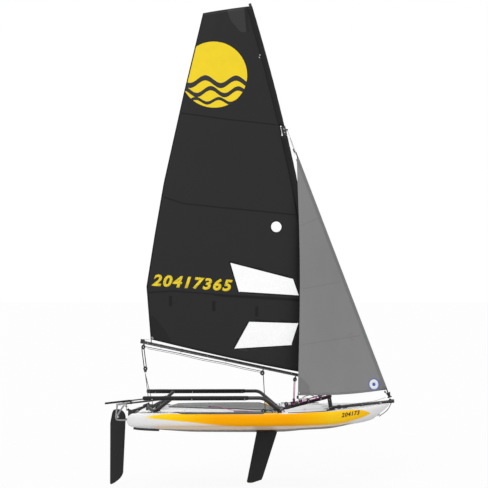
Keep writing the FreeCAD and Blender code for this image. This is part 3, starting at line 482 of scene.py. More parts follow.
@dataclass(frozen=True)
class SatinMetal(Finish):
    """Bare satin metal: brushed lines and light stains."""

    def draw(self, graph: Graph) -> None:
        """Stains and brushed lines.

        Args:
            graph: The material's nodes.
        """
        stains = graph.noise(graph.coords(), 26.0, 5.0)
        graph.plug(
            Metallic=0.85,
            Base_Color=self.tone(graph, stains, 0.8, 1.1),
            Roughness=self.rough(graph, stains, (0.3, 0.75), 0.08, 0.12),
            Normal=graph.relief(graph.noise(graph.coords(scale=(20, 20, 400)), 3.0, 3.0), 0.00005),
        )


@dataclass(frozen=True)
class SailCloth(Finish):
    """Woven sailcloth: a fine weave, a faint grid of heavier threads, clouds and soft creases."""

    grid: float = 0.012
    crease: float = 0.006

    def draw(self, graph: Graph) -> None:
        """Weave, grid, clouds and creases.

        Args:
            graph: The material's nodes.
        """
        place = graph.coords()
        x, _, z = graph.split(place)
        saws = [graph.maths("PINGPONG", axis, self.grid / 2) for axis in (x, z)]
        heavy = graph.maths("MAXIMUM", *(graph.step(saw, 0.0008, 0.0002) for saw in saws))
        clouds = graph.noise(graph.coords(scale=(1.0, 1.0, 0.5)), 1.6, 5.0)
        creases = graph.noise(graph.coords(scale=(1.4, 1.0, 0.6), turn=(0, 0.6, 0)), 3.2, 4.0)
        base = self.tone(graph, clouds, 0.82, 1.16)
        graph.plug(
            Specular_IOR_Level=0.2,
            Sheen_Weight=0.02,
            Sheen_Roughness=0.4,
            Base_Color=graph.mix(graph.maths("MULTIPLY", heavy, 0.35), base, shade(self.colour, 1.5)),
            Roughness=self.rough(graph, clouds, (0.2, 0.8), 0.07, 0.07),
            Normal=graph.relief(
                graph.maths("ADD", graph.weave(place), heavy), 0.00008, graph.relief(creases, self.crease)
            ),
        )


@dataclass(frozen=True)
class ClearFilm(Finish):
    """Clear window film: nearly all see-through, with fine scratches and a milky bloom."""

    def draw(self, graph: Graph) -> None:
        """Bloom and scratches.

        Args:
            graph: The material's nodes.
        """
        bloom = graph.noise(graph.coords(), 6.0, 4.0)
        scratches = graph.noise(graph.coords(scale=(1, 1, 30), turn=(0, 0.4, 0)), 30.0, 3.0)
        graph.plug(
            IOR=1.3,
            Specular_IOR_Level=0.4,
            Base_Color=graph.mix(bloom, self.colour, shade(self.colour, 0.95)),
            Alpha=graph.step(bloom, 0.2, 0.8, (0.10, 0.20)),
            Roughness=self.rough(graph, scratches, (0.3, 0.8), 0.0, 0.15),
            Normal=graph.relief(bloom, 0.002),
        )


@dataclass(frozen=True)
class Composite(Finish):
    """A moulded fibre blade under a satin coat, scratched along its length."""

    def draw(self, graph: Graph) -> None:
        """Fibres, scratches and clouds.

        Args:
            graph: The material's nodes.
        """
        scratches = graph.noise(graph.coords(scale=(30, 30, 2.5), turn=(0, 0.15, 0)), 4.0, 6.0)
        scored = graph.maths("MULTIPLY", graph.step(scratches, 0.63, 0.7), 0.3)
        clouds = graph.noise(graph.coords(), 4.0, 4.0)
        graph.plug(
            Specular_IOR_Level=0.22,
            Base_Color=graph.mix(scored, self.tone(graph, clouds, 0.8, 1.25), shade(self.colour, 3.0)),
            Roughness=self.rough(graph, clouds, (0.2, 0.8), 0.08, 0.1),
            Normal=graph.relief(graph.noise(graph.coords(scale=(60, 60, 4)), 3.0, 4.0), 0.0001),
        )


@dataclass(frozen=True)
class Braid(Finish):
    """Braided rope: a diamond weave along the piece, with flecks of a second colour."""

    fleck: Colour = (0.5, 0.5, 0.5)
    pitch: float = 0.009
    share: float = 0.5

    def draw(self, graph: Graph) -> None:
        """Two crossing lays with painted shade between them and painted highlight on their crowns, and the
        flecks.

        Args:
            graph: The material's nodes.
        """
        along, around, _ = graph.split(graph.coords("UV"))
        turn = graph.maths("DIVIDE", along, self.pitch)
        lays = []
        for lay in (5.0, -5.0):
            sweep = graph.node("Math", {0: around, 1: lay, 2: turn}, operation="MULTIPLY_ADD").outputs[0]
            lays.append(graph.maths("SINE", graph.maths("MULTIPLY", sweep, TURN)))
        weave = graph.maths("MAXIMUM", *lays)
        spots = graph.noise(graph.coords("UV", (160, 3, 1)), 1.0, 1.0)
        # painted shade between the lays and painted highlight on their crowns
        tone = self.tone(graph, graph.step(weave, 0.3, 1.0), 0.55, 1.15)
        rare = 0.2 * self.share
        graph.plug(
            Sheen_Weight=0.25,
            Specular_IOR_Level=0.3,
            Base_Color=graph.mix(graph.step(spots, 0.5 + rare, 0.62 + rare), tone, self.fleck),
            Roughness=self.rough(graph, weave, (0.0, 1.0), -0.1, 0.0),
            Normal=graph.relief(weave, 0.0006),
        )


@dataclass(frozen=True)
class Webbing(Finish):
    """Woven strap: ribs across its width."""

    rib: float = 0.0025

    def draw(self, graph: Graph) -> None:
        """Ribs and dust.

        Args:
            graph: The material's nodes.
        """
        place = graph.coords()
        dust = graph.noise(place, 30.0, 4.0)
        graph.plug(
            Sheen_Weight=0.3,
            Specular_IOR_Level=0.25,
            Base_Color=self.tone(graph, dust, 0.8, 1.5),
            Roughness=self.rough(graph, dust, (0.2, 0.8), 0.05, 0.08),
            Normal=graph.relief(graph.bands(place, 1 / (self.rib * 6), "DIAGONAL"), 0.0004),
        )


@dataclass(frozen=True)
class StuckCloth(Finish):
    """Thin stick-on cloth for numbers and roundels, with a printed grain and faded spots."""

    def inked(self, graph: Graph, faded: Socket) -> Socket:
        """The faded colour with what is printed on it: here nothing."""
        return faded

    def draw(self, graph: Graph) -> None:
        """Print, fading and weave.

        Args:
            graph: The material's nodes.
        """
        place = graph.coords()
        fade = graph.noise(place, 9.0, 5.0)
        graph.plug(
            Specular_IOR_Level=0.3,
            Base_Color=self.inked(graph, self.tone(graph, fade, 0.93, 1.05)),
            Roughness=self.rough(graph, fade, (0.2, 0.8), 0.05, 0.08),
            Normal=graph.relief(graph.weave(place), 0.00006),
        )


@dataclass(frozen=True)
class WaveRoundel(StuckCloth):
    """Yellow stick-on cloth with dark waves across its lower part."""

    ink: Colour = (0.02, 0.02, 0.022)
    waves: tuple[tuple[float, ...], ...] = (
        # level, swing, length, half width
        (4.45, 0.050, 0.40, 0.034), (4.32, 0.045, 0.36, 0.028), (4.20, 0.030, 0.30, 0.020),
    )

    def inked(self, graph: Graph, faded: Socket) -> Socket:
        """The faded colour under three waves of ink.

        Args:
            graph: The material's nodes.
            faded: The cloth's colour.

        Returns:
            The printed colour.
        """
        x, _, z = graph.split(graph.coords())
        inks = []
        for level, swing, length, half in self.waves:
            wave = graph.maths("SINE", graph.maths("MULTIPLY", x, TURN / length))
            off = graph.maths("SUBTRACT", z, level, graph.maths("MULTIPLY", wave, swing))
            inks.append(graph.step(graph.maths("ABSOLUTE", off), half + 0.002, half))
        return graph.mix(graph.maths("MAXIMUM", *inks), faded, self.ink)


HULL_FABRIC = BandedHull(
    "coated_fabric_banded", (0.78, 0.78, 0.785), 0.38,
    top_edge=(
        (-1.70, 0.175), (-1.40, 0.182), (-1.20, 0.205), (-0.95, 0.211), (0.30, 0.212), (0.87, 0.238),
        (1.22, 0.236), (1.34, 0.212), (1.404, 0.174), (1.42, 0.150), (1.70, 0.15),
    ),
    low_edge=(
        (-1.70, 0.15), (-1.40, 0.150), (-0.99, 0.122), (-0.27, 0.061), (-0.02, 0.060), (0.68, 0.050),
        (0.89, 0.069), (1.11, 0.099), (1.30, 0.140), (1.404, 0.174), (1.70, 0.26),
    ),
)
TAPE_WHITE = CoatedFabric("seam_tape", (0.72, 0.72, 0.73), 0.45)
TAPE_GREY = CoatedFabric("rubbing_strip", (0.10, 0.10, 0.105), 0.55)
FOAM = DeckFoam("deck_foam_grey", (0.275, 0.283, 0.277), 0.8)
FOAM_EDGE = DeckFoam("deck_foam_edge", (0.10, 0.103, 0.10), 0.8)
TUBE = AnodisedTube("anodised_black", (0.030, 0.030, 0.032), 0.36)
SPAR = AnodisedTube("mast_black", (0.022, 0.022, 0.024), 0.40, metal=0.2)
PLASTIC = Moulded("moulded_black", (0.016, 0.016, 0.017), 0.48)
GREY_PLASTIC = Moulded("moulded_grey", (0.16, 0.16, 0.165), 0.45)
SLEEVE = SailCloth("rack_sleeve_cloth", (0.016, 0.016, 0.017), 0.72, grid=0.02, crease=0.003)
STEEL = SatinMetal("stainless", (0.62, 0.62, 0.63), 0.28)
ALLOY = SatinMetal("satin_alloy", (0.30, 0.30, 0.31), 0.38)
STAY_STEEL = SatinMetal("stay_steel", (0.42, 0.42, 0.43), 0.35)
BLACK_CLOTH = SailCloth("main_black", (0.0138, 0.0138, 0.0144), 0.55)
BLACK_PATCH = SailCloth("main_patch", (0.0095, 0.0095, 0.010), 0.6, grid=0.006)
HEAD_PANEL = SailCloth("main_head_panel", (0.031, 0.031, 0.032), 0.5, grid=0.02, crease=0.012)
SEAM_TAPE = SailCloth("main_tape", (0.0048, 0.0048, 0.0051), 0.6, grid=0.006)
GREY_CLOTH = SailCloth("jib_grey", (0.205, 0.205, 0.207), 0.6, crease=0.004)
GREY_PATCH = SailCloth("jib_patch", (0.165, 0.165, 0.168), 0.6, grid=0.006)
GREY_TAPE = SailCloth("jib_tape", (0.182, 0.182, 0.184), 0.6, grid=0.006)
FILM = ClearFilm("clear_film", (0.96, 0.97, 0.98), 0.12)
BLADE = Composite("blade_composite", (0.013, 0.013, 0.0135), 0.45)
BLACK_ROPE = Braid("rope_black", (0.022, 0.022, 0.024), 0.7, fleck=(0.22, 0.22, 0.22))
GREY_ROPE = Braid("rope_grey", (0.36, 0.37, 0.38), 0.7, fleck=(0.03, 0.03, 0.03), share=0.3)
PINK_ROPE = Braid("rope_magenta", (0.62, 0.035, 0.33), 0.65, fleck=(0.04, 0.02, 0.03), share=0.4)
WHITE_ROPE = Braid("rope_white", (0.72, 0.72, 0.71), 0.7, fleck=(0.1, 0.1, 0.4), share=0.9)
STRAP = Webbing("webbing_black", (0.018, 0.018, 0.019), 0.75)
YELLOW = StuckCloth("number_yellow", (0.83, 0.62, 0.015), 0.55)
WHITE = StuckCloth("roundel_white", (0.80, 0.81, 0.83), 0.5)
BLUE = StuckCloth("roundel_blue", (0.035, 0.12, 0.50), 0.5)
DARK_PRINT = StuckCloth("print_black", (0.025, 0.022, 0.02), 0.5)
ROUNDEL = WaveRoundel("roundel_yellow", (0.87, 0.64, 0.01), 0.55)
BLOCKWORK = (PLASTIC, GREY_PLASTIC, STEEL)


# ---------------------------------------------------------------- shapes


def spaced(low: float, high: float, steps: int) -> list[float]:
    """Evenly spaced values, both ends with them."""
    return [low + (high - low) * step / steps for step in range(steps + 1)]


def wheel(sides: int, sign: int = 1) -> list[Flat]:
    """Cosine and sine at even places round a full turn."""
    turns = [sign * TURN * side / sides for side in range(sides)]
    return [(math.cos(turn), math.sin(turn)) for turn in turns]


def circle(centre: Flat, radius: float, count: int) -> list[Flat]:
    """Corners round a circle."""
    return [(centre[0] + radius * c, centre[1] + radius * s) for c, s in wheel(count)]


def across_axis(axis: Vector) -> tuple[Vector, Vector]:
    """Two unit directions square to an axis."""
    first = axis.cross(UP if abs(axis.z) < 0.9 else AHEAD).normalized()
    return first, axis.cross(first).normalized()


def headings(line: Sequence[Vector]) -> list[Vector]:
    """From the point before to the point after, at each point of a line."""
    last = len(line) - 1
    return [line[min(number + 1, last)] - line[max(number - 1, 0)] for number in range(len(line))]


def smooth_line(points: Sequence[Point], steps: int = 6) -> list[Vector]:
    """A smooth line through points, with so many steps on each run.

    Args:
        points: What the line goes through.
        steps: Steps on each run.

    Returns:
        The line's points.
    """
    given = [Vector(point) for point in points]
    padded = [given[0] * 2 - given[1], *given, given[-1] * 2 - given[-2]]
    line = []
    for before, start, end, after in zip(padded, padded[1:], padded[2:], padded[3:]):
        for t in spaced(0.0, 1.0, steps)[:-1]:
            pull = before * (-t + 2 * t * t - t ** 3) + start * (2 - 5 * t * t + 3 * t ** 3)
            pull += end * (t + 4 * t * t - 3 * t ** 3) + after * (-t * t + t ** 3)
            line.append(pull / 2)
    return line + [given[-1]]


def link(piece: Piece) -> Piece:
    """Puts an object into the scene."""
    bpy.context.scene.collection.objects.link(piece)
    return piece


def evaluated(piece: Piece) -> bpy.types.Mesh:
    """A copy of an object's mesh with its modifiers applied."""
    bpy.context.view_layer.update()
    return bpy.data.meshes.new_from_object(piece.evaluated_get(bpy.context.evaluated_depsgraph_get()))


def soften(piece: Piece, ease: float) -> None:
    """Eases a piece's sharp edges by a radius.

    Args:
        piece: The piece.
        ease: The radius.
    """
    eased = piece.modifiers.new("eased", "BEVEL")
    eased.width, eased.segments, eased.limit_method = ease, 2, "ANGLE"
    eased.angle_limit = math.radians(40)


class Shape:
    """Faces that are gathered before they become one piece; each has a finish by its number."""

    def __init__(self) -> None:
        """Starts with nothing."""
        self.points: list[Vector] = []
        self.faces: list[tuple[int, ...]] = []
        self.marks: list[int] = []
        self.lengths: dict[int, tuple[Flat, ...]] = {}

    def add(self, points: Iterable[Point], faces: Iterable[Sequence[int]], mark: int = 0) -> None:
        """Adds faces.

        Args:
            points: Their corners.
            faces: Numbers of corners, counted from the first of these.
            mark: The finish's number.
        """
        first = len(self.points)
        self.points += [Vector(point) for point in points]
        for face in faces:
            self.faces.append(tuple(first + corner for corner in face))
            self.marks.append(mark)

    def sheet(
        self, rows: Sequence[Sequence[Point]], mark: int = 0, around: bool = False, caps: bool = False
    ) -> None:
        """Joins rows of points into a surface.

        Args:
            rows: Rows of equally many points.
            mark: The finish's number.
            around: Whether each row closes on itself.
            caps: Whether the first and last rows are filled.
        """
        wide = len(rows[0])
        faces = []
        for low in range(0, (len(rows) - 1) * wide, wide):
            for column in range(wide if around else wide - 1):
                beside = (column + 1) % wide
                faces.append((low + column, low + beside, low + wide + beside, low + wide + column))
        if caps:
            faces.append(tuple(reversed(range(wide))))
            faces.append(tuple((len(rows) - 1) * wide + column for column in range(wide)))
        self.add([point for row in rows for point in row], faces, mark)

    def solid(self, rows: Sequence[Sequence[Point]], mark: int = 0) -> None:
        """Joins closed rows of points into a surface with both ends filled."""
        self.sheet(rows, mark, around=True, caps=True)

    def tube(
        self, path: Sequence[Point], radius: float | Callable[[float], float], sides: int = 8, mark: int = 0
    ) -> None:
        """A round bar or rope along a path, with its lengths kept for a weave.

        Args:
            path: The points that it follows.
            radius: Its radius, or the radius at a share of the path.
            sides: Corners round it.
            mark: The finish's number.
        """
        line = [Vector(point) for point in path]
        tangent = (line[1] - line[0]).normalized()
        first = across_axis(tangent)[0]
        rows, lengths, gone = [], [], 0.0
        for number, (place, ahead) in enumerate(zip(line, headings(line))):
            tangent = ahead.normalized() if ahead.length > 1e-9 else tangent
            first = (first - tangent * first.dot(tangent)).normalized()
            second = tangent.cross(first)
            size = radius(number / (len(line) - 1)) if callable(radius) else radius
            rows.append([place + (first * c + second * s) * size for c, s in wheel(sides)])
            gone += (place - line[number - 1]).length if number else 0.0
            lengths.append(gone)
        start = len(self.faces)
        self.solid(rows, mark)
        for row, (here, there) in enumerate(zip(lengths, lengths[1:])):
            for side in range(sides):
                left, right = side / sides, (side + 1) / sides
                corners = ((here, left), (here, right), (there, right), (there, left))
                self.lengths[start + row * sides + side] = corners

    def turned(
        self, profile: Sequence[Flat], start: Point, axis: Point, sides: int = 28, mark: int = 0
    ) -> None:
        """A turned shape.

        Args:
            profile: Radius and height of each ring, from the start along the axis.
            start: Where the heights begin.
            axis: The direction that it is turned about.
            sides: Corners round it.
            mark: The finish's number.
        """
        base, along = Vector(start), Vector(axis).normalized()
        first, second = across_axis(along)
        spokes = [first * c + second * s for c, s in wheel(sides, -1)]
        rows = []
        for radius, height in profile:
            middle, reach = base + along * height, max(radius, 1e-5)
            rows.append([middle + spoke * reach for spoke in spokes])
        self.solid(rows, mark)

    def button(self, start: Point, axis: Point, rim: Flat, top: Flat, sides: int = 10, mark: int = 0) -> None:
        """A round disc with a domed top; rim and top each give radius and height."""
        self.turned([(rim[0], 0), rim, top], start, axis, sides, mark)

    def collar(
        self, centre: Point, axis: Point, radii: Flat, half: float, sides: int = 28, mark: int = 0,
        slope: float = 0.001,
    ) -> None:
        """A short tube round an axis, lower at its ends than in its middle."""
        (low, high), flat = radii, half - slope
        self.turned([(low, -half), (high, -flat), (high, flat), (low, half)], centre, axis, sides, mark)

    def ring(
        self, centre: Point, axis: Point, radius: float, thick: float, mark: int = 0, sides: int = 24
    ) -> None:
        """A round ring of round bar.

        Args:
            centre: Its middle.
            axis: The direction that it is seen round from.
            radius: Radius of its middle line.
            thick: Radius of its bar.
            mark: The finish's number.
            sides: Corners round it.
        """
        middle, along = Vector(centre), Vector(axis).normalized()
        first, second = across_axis(along)
        rows = []
        for c, s in [*wheel(sides), (1.0, 0.0)]:
            out = first * c + second * s
            rows.append([middle + out * (radius + thick * a) + along * thick * b for a, b in wheel(10)])
        self.sheet(rows, mark, around=True)

    def slab(
        self, outline: Sequence[Flat], origin: Point, u: Point, v: Point, thick: float, mark: int = 0
    ) -> None:
        """A flat piece of any outline, centred on its own plane.

        Args:
            outline: Corners in the plane.
            origin: The plane's origin.
            u: The plane's first direction.
            v: The plane's second direction.
            thick: Its thickness.
            mark: The finish's number.
        """
        first, second = Vector(u).normalized(), Vector(v).normalized()
        out = first.cross(second).normalized() * thick / 2
        flat = [Vector(origin) + first * a + second * b for a, b in outline]
        self.solid([[point - out for point in flat], [point + out for point in flat]], mark)

    def band(
        self, path: Sequence[Point], across: Point, width: float, thick: float, mark: int = 0,
        flat: bool = True,
    ) -> None:
        """A strap or bar along a path.

        Args:
            path: The points that its middle follows.
            across: The direction of a strap's width, or of a bar's thickness.
            width: Its width.
            thick: Its thickness.
            mark: The finish's number.
            flat: Whether it is a strap, and not a bar that bends in its own plane.
        """
        line = [Vector(point) for point in path]
        way = Vector(across).normalized()
        rows = []
        for place, ahead in zip(line, headings(line)):
            square = way.cross(ahead.normalized()).normalized()
            beside, out = (way, square) if flat else (-square, way)
            low, high = place - beside * width / 2, place + beside * width / 2
            out = out * thick / 2
            rows.append([low - out, high - out, high + out, low + out])
        self.solid(rows, mark)

    def block(
        self, centre: Point, size: Point, u: Point = AHEAD, v: Point = PORTWARD, mark: int = 0
    ) -> None:
        """A rectangular block; its edges are eased when the piece is made.

        Args:
            centre: Its middle.
            size: Its length, width and height.
            u: The direction of its length.
            v: The direction of its width.
            mark: The finish's number.
        """
        long, wide = size[0] / 2, size[1] / 2
        outline = [(-long, -wide), (long, -wide), (long, wide), (-long, wide)]
        self.slab(outline, centre, u, v, size[2], mark)

    def moved(self, matrix: Matrix) -> "Shape":
        """The same shape with all its points moved by a matrix."""
        self.points = [matrix @ point for point in self.points]
        return self

    def piece(
        self, name: str, body: Optional[Body], finishes: Sequence[Finish], slot: Optional[Slot] = None,
        ease: float = 0.0, thick: float = 0.0, angle: float = 35.0,
    ) -> Piece:
        """Makes the piece.

        Args:
            name: The piece's name.
            body: The body that it rides on, or None where that is settled afterwards.
            finishes: The finishes that the marks count.
            slot: The record's slot for its main finish; not used.
            ease: Radius of its eased edges.
            thick: Thickness given to an open sheet, centred on it.
            angle: Edges sharper than this stay crisp, in degrees.

        Returns:
            The new object.
        """
        mesh = bpy.data.meshes.new(name)
        mesh.from_pydata([tuple(point) for point in self.points], [], self.faces)
        for finish in finishes:
            mesh.materials.append(finish.material())
        mesh.polygons.foreach_set("material_index", self.marks)
        mesh.polygons.foreach_set("use_smooth", [True] * len(self.faces))
        if self.lengths:
            layer = mesh.uv_layers.new(name="UVMap").data
            for number, corners in self.lengths.items():
                for loop, corner in zip(mesh.polygons[number].loop_indices, corners):
                    layer[loop].uv = corner
        mesh.validate()
        mesh.set_sharp_from_angle(angle=math.radians(angle))
        piece = link(bpy.data.objects.new(name, mesh))
        if ease:
            soften(piece, ease)
        if thick:
            shell = piece.modifiers.new("cloth", "SOLIDIFY")
            shell.thickness, shell.offset = thick, 0.0
        if body is not None:
            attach(piece, body.value)
        LOG.info("%s: %d faces", name, len(self.faces))
        return piece


def hinge_turn(name: str, degrees: float) -> Matrix:
    """The turn of a joint's child by an angle, from the frame's own joints.

    Args:
        name: The joint's name.
        degrees: The angle.

    Returns:
        The turn.
    """
    joint = next(row for row in frame["joints"] if row["name"] == name)
    pivot = Matrix.Translation(Vector(joint["pos_m"]))
    turn = Matrix.Rotation(math.radians(degrees), 4, Vector(joint["axis"]))
    return pivot @ turn @ pivot.inverted()


def slanted(glyphs: str, height: float, slant: float, bold: float) -> list[list[Flat]]:
    """Plain figures as flat triangles.

    Args:
        glyphs: The figures.
        height: Their height.
        slant: How far they lean, per height.
        bold: How much heavier than plain.

    Returns:
        Triangles of points, from the lower left corner of the first figure.
    """
    curve = bpy.data.curves.new("figures", "FONT")
    curve.body, curve.size, curve.shear, curve.offset = glyphs, height / 0.72, slant, bold
    curve.resolution_u, curve.space_character = 4, 1.18
    holder = link(bpy.data.objects.new("figures", curve))
    mesh = evaluated(holder)
    flat = bmesh.new()
    flat.from_mesh(mesh)
    bmesh.ops.triangulate(flat, faces=flat.faces)
    triangles = [[(corner.co.x, corner.co.y) for corner in face.verts] for face in flat.faces]
    flat.free()
    bpy.data.meshes.remove(mesh)
    bpy.data.objects.remove(holder)
    bpy.data.curves.remove(curve)
    return triangles


def split(triangles: Sequence[Sequence[Flat]]) -> list[list[Flat]]:
    """Each flat triangle cut in four, so that it can follow a curved skin.

    Args:
        triangles: The triangles.

    Returns:
        Four for each of them.
    """
    parts = []
    for a, b, c in triangles:
        ab, bc, ca = [((p[0] + q[0]) / 2, (p[1] + q[1]) / 2) for p, q in ((a, b), (b, c), (c, a))]
        parts += [[a, ab, ca], [ab, b, bc], [ca, bc, c], [ab, bc, ca]]
    return parts


def dress(nodes: str, finish: Finish, ease: float = 0.0) -> None:
    """Gives frame nodes their finish, and eases their edges.

    Args:
        nodes: The nodes' names, with spaces between.
        finish: Their finish.
        ease: Radius of their eased edges.
    """
    for node in nodes.split():
        piece = frame["nodes"][node]
        piece.data.materials.clear()
        piece.data.materials.append(finish.material())
        if ease:
            soften(piece, ease)
        LOG.info("%s: dressed", node)


def pulley(shape: Shape, centre: Point, pull: Point, size: float) -> None:
    """A small block: cheeks of finish 0, a sheave of finish 1, and metal of finish 2.

    Args:
        shape: What it is added to.
        centre: The sheave's middle; its axis points to port.
        pull: The direction towards what it hangs from.
        size: Radius of its cheeks.
    """
    middle, up, turn = Vector(centre), Vector(pull).normalized(), PORTWARD
    beside = up.cross(turn).normalized()
    outline = [(size * s * 0.92, size * c * (1.18 if c > 0 else 1.0)) for c, s in wheel(20)]

    def scaled(*profile: Flat) -> list[Flat]:
        """A profile given in shares of the cheeks' radius."""
        return [(size * radius, size * height) for radius, height in profile]

    for sign in (-1, 1):
        shape.slab(outline, middle + turn * sign * size * 0.42, beside, up, size * 0.2, 0)
        pin = scaled((0.26, 0), (0.26, 0.12), (0.18, 0.16))
        shape.turned(pin, middle + turn * sign * size * 0.5, turn * sign, 12, 2)
    sheave = scaled((0.72, 0), (0.78, 0.1), (0.62, 0.28), (0.78, 0.46), (0.72, 0.56))
    shape.turned(sheave, middle - turn * size * 0.28, turn, 20, 1)
    shape.turned(scaled((0.3, 0), (0.34, 0.25), (0.2, 0.5)), middle + up * size * 1.05, up, 12, 0)
    shape.ring(middle + up * size * 1.75, turn, size * 0.34, size * 0.09, 2)


def cleat(shape: Shape, centre: Point, along: Point, up: Point, size: float) -> None:
    """A cam cleat of finish 0: a base and two toothed cams, with a fairlead of finish 2.

    Args:
        shape: What it is added to.
        centre: The middle of its base.
        along: The rope's direction.
        up: The direction away from what it sits on.
        size: Length of its base.
    """
    middle, way, rise = Vector(centre), Vector(along).normalized(), Vector(up).normalized()
    beside = rise.cross(way).normalized()
    shape.block(middle + rise * size * 0.08, (size, size * 0.55, size * 0.16), way, beside, 0)
    cam = []
    for step, (c, s) in enumerate(wheel(14)):
        tooth = 1.0 + 0.08 * (step % 2)
        cam.append((size * 0.2 * tooth * c, size * 0.15 * tooth * s))
    for sign in (-1, 1):
        place = middle + beside * sign * size * 0.17 + rise * size * 0.26
        shape.slab(cam, place, way, beside, size * 0.18, 0)
    foot = middle + way * size * 0.42
    shape.tube([
        foot + beside * size * 0.2 * math.cos(a) + rise * size * (0.16 + 0.32 * math.sin(a))
        for a in spaced(0.0, math.pi, 10)
    ], size * 0.045, 8, 2)


def rope(
    name: str, route: Sequence[Point], thick: float, finish: Finish, body: Body = Body.HULL,
    rest: Optional[Matrix] = None,
) -> Piece:
    """One rope through points.

    Args:
        name: The piece's name.
        route: What it goes through.
        thick: Its diameter.
        finish: Its finish.
        body: The body that it rides on.
        rest: The turn from the boat's middle plane to how the body is stored.

    Returns:
        The rope.
    """
    turn = rest or Matrix()
    shape = Shape()
    shape.tube(smooth_line([turn @ Vector(point) for point in route]), thick / 2)
    return shape.piece(name, body, [finish])


def falls(
    name: str, finish: Finish, paths: Iterable[Sequence[Point]],
    radius: float,
) -> None:
    """Lines from the hull up to a turning body, as one piece that rides on no body.

    Args:
        name: The piece's name.
        finish: Its finish.
        paths: Each line's points.
        radius: The lines' radius.
    """
    shape = Shape()
    for path in paths:
        shape.tube(path, radius)
    piece = shape.piece(name, None, [finish])
    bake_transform(piece)


# ---------------------------------------------------------------- hull and deck


